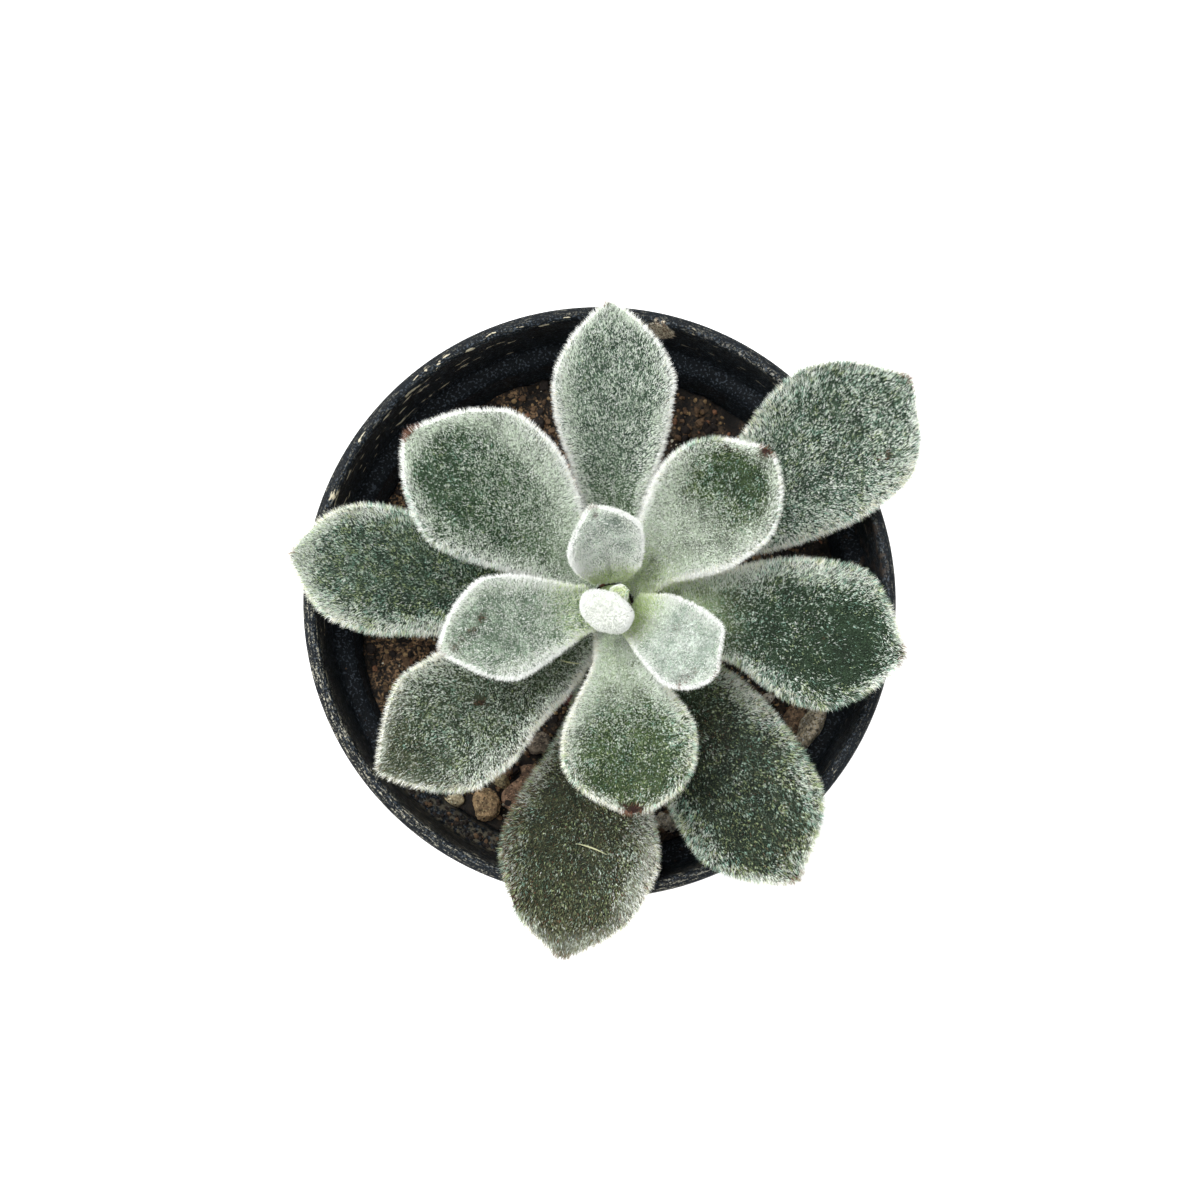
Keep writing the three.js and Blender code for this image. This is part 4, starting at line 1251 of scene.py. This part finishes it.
def make_stone(name, seed, at, size, turn, colour, lift=0.0):
    rng = np.random.default_rng(seed)
    points = STONE_POINTS.copy()
    for plane in unit(rng.normal(size=(CHIP_PLANES, 3))):
        reach = points @ plane
        cut_at = 0.72 + 0.14 * rng.random()
        points = points - np.maximum(reach - cut_at, 0)[:, None] * plane * 0.85
    rough = 0.09 * cloud(points, 0.45, seed) + 0.06 * cloud(points, 0.16, seed + 1)
    points = points * (1 + rough + 0.03 * cloud(points, 0.08, seed + 2))[:, None]
    points = points / np.abs(points).max(axis=0)
    across, along, high = size
    points = points * 0.5 * np.array([along, across, high])
    spin = np.array(Matrix.Rotation(math.radians(-turn), 3, "Z"))
    z = soil_height(*at) + high * (0.5 - STONE_SINK) + lift
    piece = make_piece(name + "_rough", points @ spin + [*at, z], STONE_FACES, stone_finish(name, colour))
    if name in STONES:
        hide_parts(name)


for seed, (name, stone) in enumerate({**STONES, **PEBBLES}.items()):
    make_stone(name, 200 + seed, *stone)
print("stones:", len(STONES), "pebbles:", len(PEBBLES))

# %% [markdown]
# ## The stem
# Little of the stem shows, but from the side it carries the whole rosette. It is brownish green and woody at
# the foot, with a low ridge over each scar of a fallen leaf.

# %% The stem
STEM_ROWS = 120
STEM_COLUMNS = 40
SCAR_HEIGHTS = [70.5, 73.2, 75.6]
TURN_BETWEEN_SCARS = 137.5


def stem_finish():
    finish = Finish("stem_bark", roughness=0.8)
    along = finish.mesh_value("along")
    grain = finish.noise(1.2, detail=5.0, stretch=(1, 1, 4)).ramp(0.35, 0.7)
    bark = finish.blend(grain, (0.065, 0.040, 0.022), (0.17, 0.12, 0.065))
    greener = (along + 0.25 * finish.noise(2.0, detail=3.0)).ramp(0.55, 1.1)
    colour = finish.blend(greener, bark, (0.16, 0.21, 0.09))
    return finish.paint(colour, relief=grain, relief_depth=0.2)


z = np.linspace(STEM_FOOT[2], STEM_TOP[2], STEM_ROWS)[:, None]
angle = np.linspace(0, 2 * math.pi, STEM_COLUMNS, endpoint=False)[None, :]
radius = stem_radius(z) * np.ones_like(angle)
for i, scar in enumerate(SCAR_HEIGHTS):
    scar_side = np.maximum(0, np.cos(angle - math.radians(TURN_BETWEEN_SCARS * i + 60)))
    radius = radius + 0.22 * scar_side * np.exp(-(((z - scar) / 0.6) ** 2))
radius[[0, -1]] *= 0.8
centre = stem_centre(z[:, 0])[:, None]
stem_points = centre + np.stack([radius * np.cos(angle), radius * np.sin(angle), 0 * radius], -1)
stem_points, triangles = tube(stem_points.reshape(-1, 3), STEM_ROWS, STEM_COLUMNS)
stem_along = np.append(np.repeat(np.linspace(0, 1, STEM_ROWS), STEM_COLUMNS), [0, 1])
stem = make_piece("stem_bark", stem_points, triangles, stem_finish(), values={"along": stem_along})
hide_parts("stem")
print("stem triangles:", len(triangles))

# %% [markdown]
# ## Floor and light
# The photograph has a white ground and very soft light from above. A wide pale floor and a bright, even sky
# give that, and one broad lamp high on the left gives the hairs a side to shine on.

# %% Floor
FLOOR_SIZE = 3000.0
bpy.ops.mesh.primitive_plane_add(size=FLOOR_SIZE * MM)
floor = bpy.context.object
floor.name = "floor"
pale_floor = Finish("pale_floor", base_color=(0.93, 0.93, 0.925), roughness=0.8,
                    emission_color=(1.0, 1.0, 1.0), emission_strength=0.45)
floor.data.materials.append(pale_floor.material)
print("floor, mm wide:", FLOOR_SIZE)

# %% Sky and lamp
SKY_STRENGTH = 1.0
LAMP_PLACE = Vector((-380, 320, 1000))
LAMP_AIM = Vector((0, 0, 90))
LAMP_SIZE = 700
LAMP_WATTS = 11.0
world = bpy.data.worlds.new("sky")
world.use_nodes = True
sky = world.node_tree.nodes["Background"]
sky.inputs["Color"].default_value = (1.0, 1.0, 1.0, 1.0)
sky.inputs["Strength"].default_value = SKY_STRENGTH
bpy.context.scene.world = world
bpy.context.scene.view_settings.view_transform = "Standard"

light = bpy.data.lights.new("high_lamp", "AREA")
light.shape = "DISK"
light.size = LAMP_SIZE * MM
light.energy = LAMP_WATTS
lamp = bpy.data.objects.new("high_lamp", light)
bpy.context.scene.collection.objects.link(lamp)
lamp.location = LAMP_PLACE * MM
lamp.rotation_euler = (LAMP_PLACE - LAMP_AIM).to_track_quat("Z", "Y").to_euler()
print("sky strength:", SKY_STRENGTH, "lamp, watts:", LAMP_WATTS)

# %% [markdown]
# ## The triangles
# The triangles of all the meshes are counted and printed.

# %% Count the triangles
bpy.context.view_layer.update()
meshes = [o.data for o in bpy.data.objects if o.type == "MESH"]
print("triangles in all:", sum(len(p.vertices) - 2 for mesh in meshes for p in mesh.polygons))
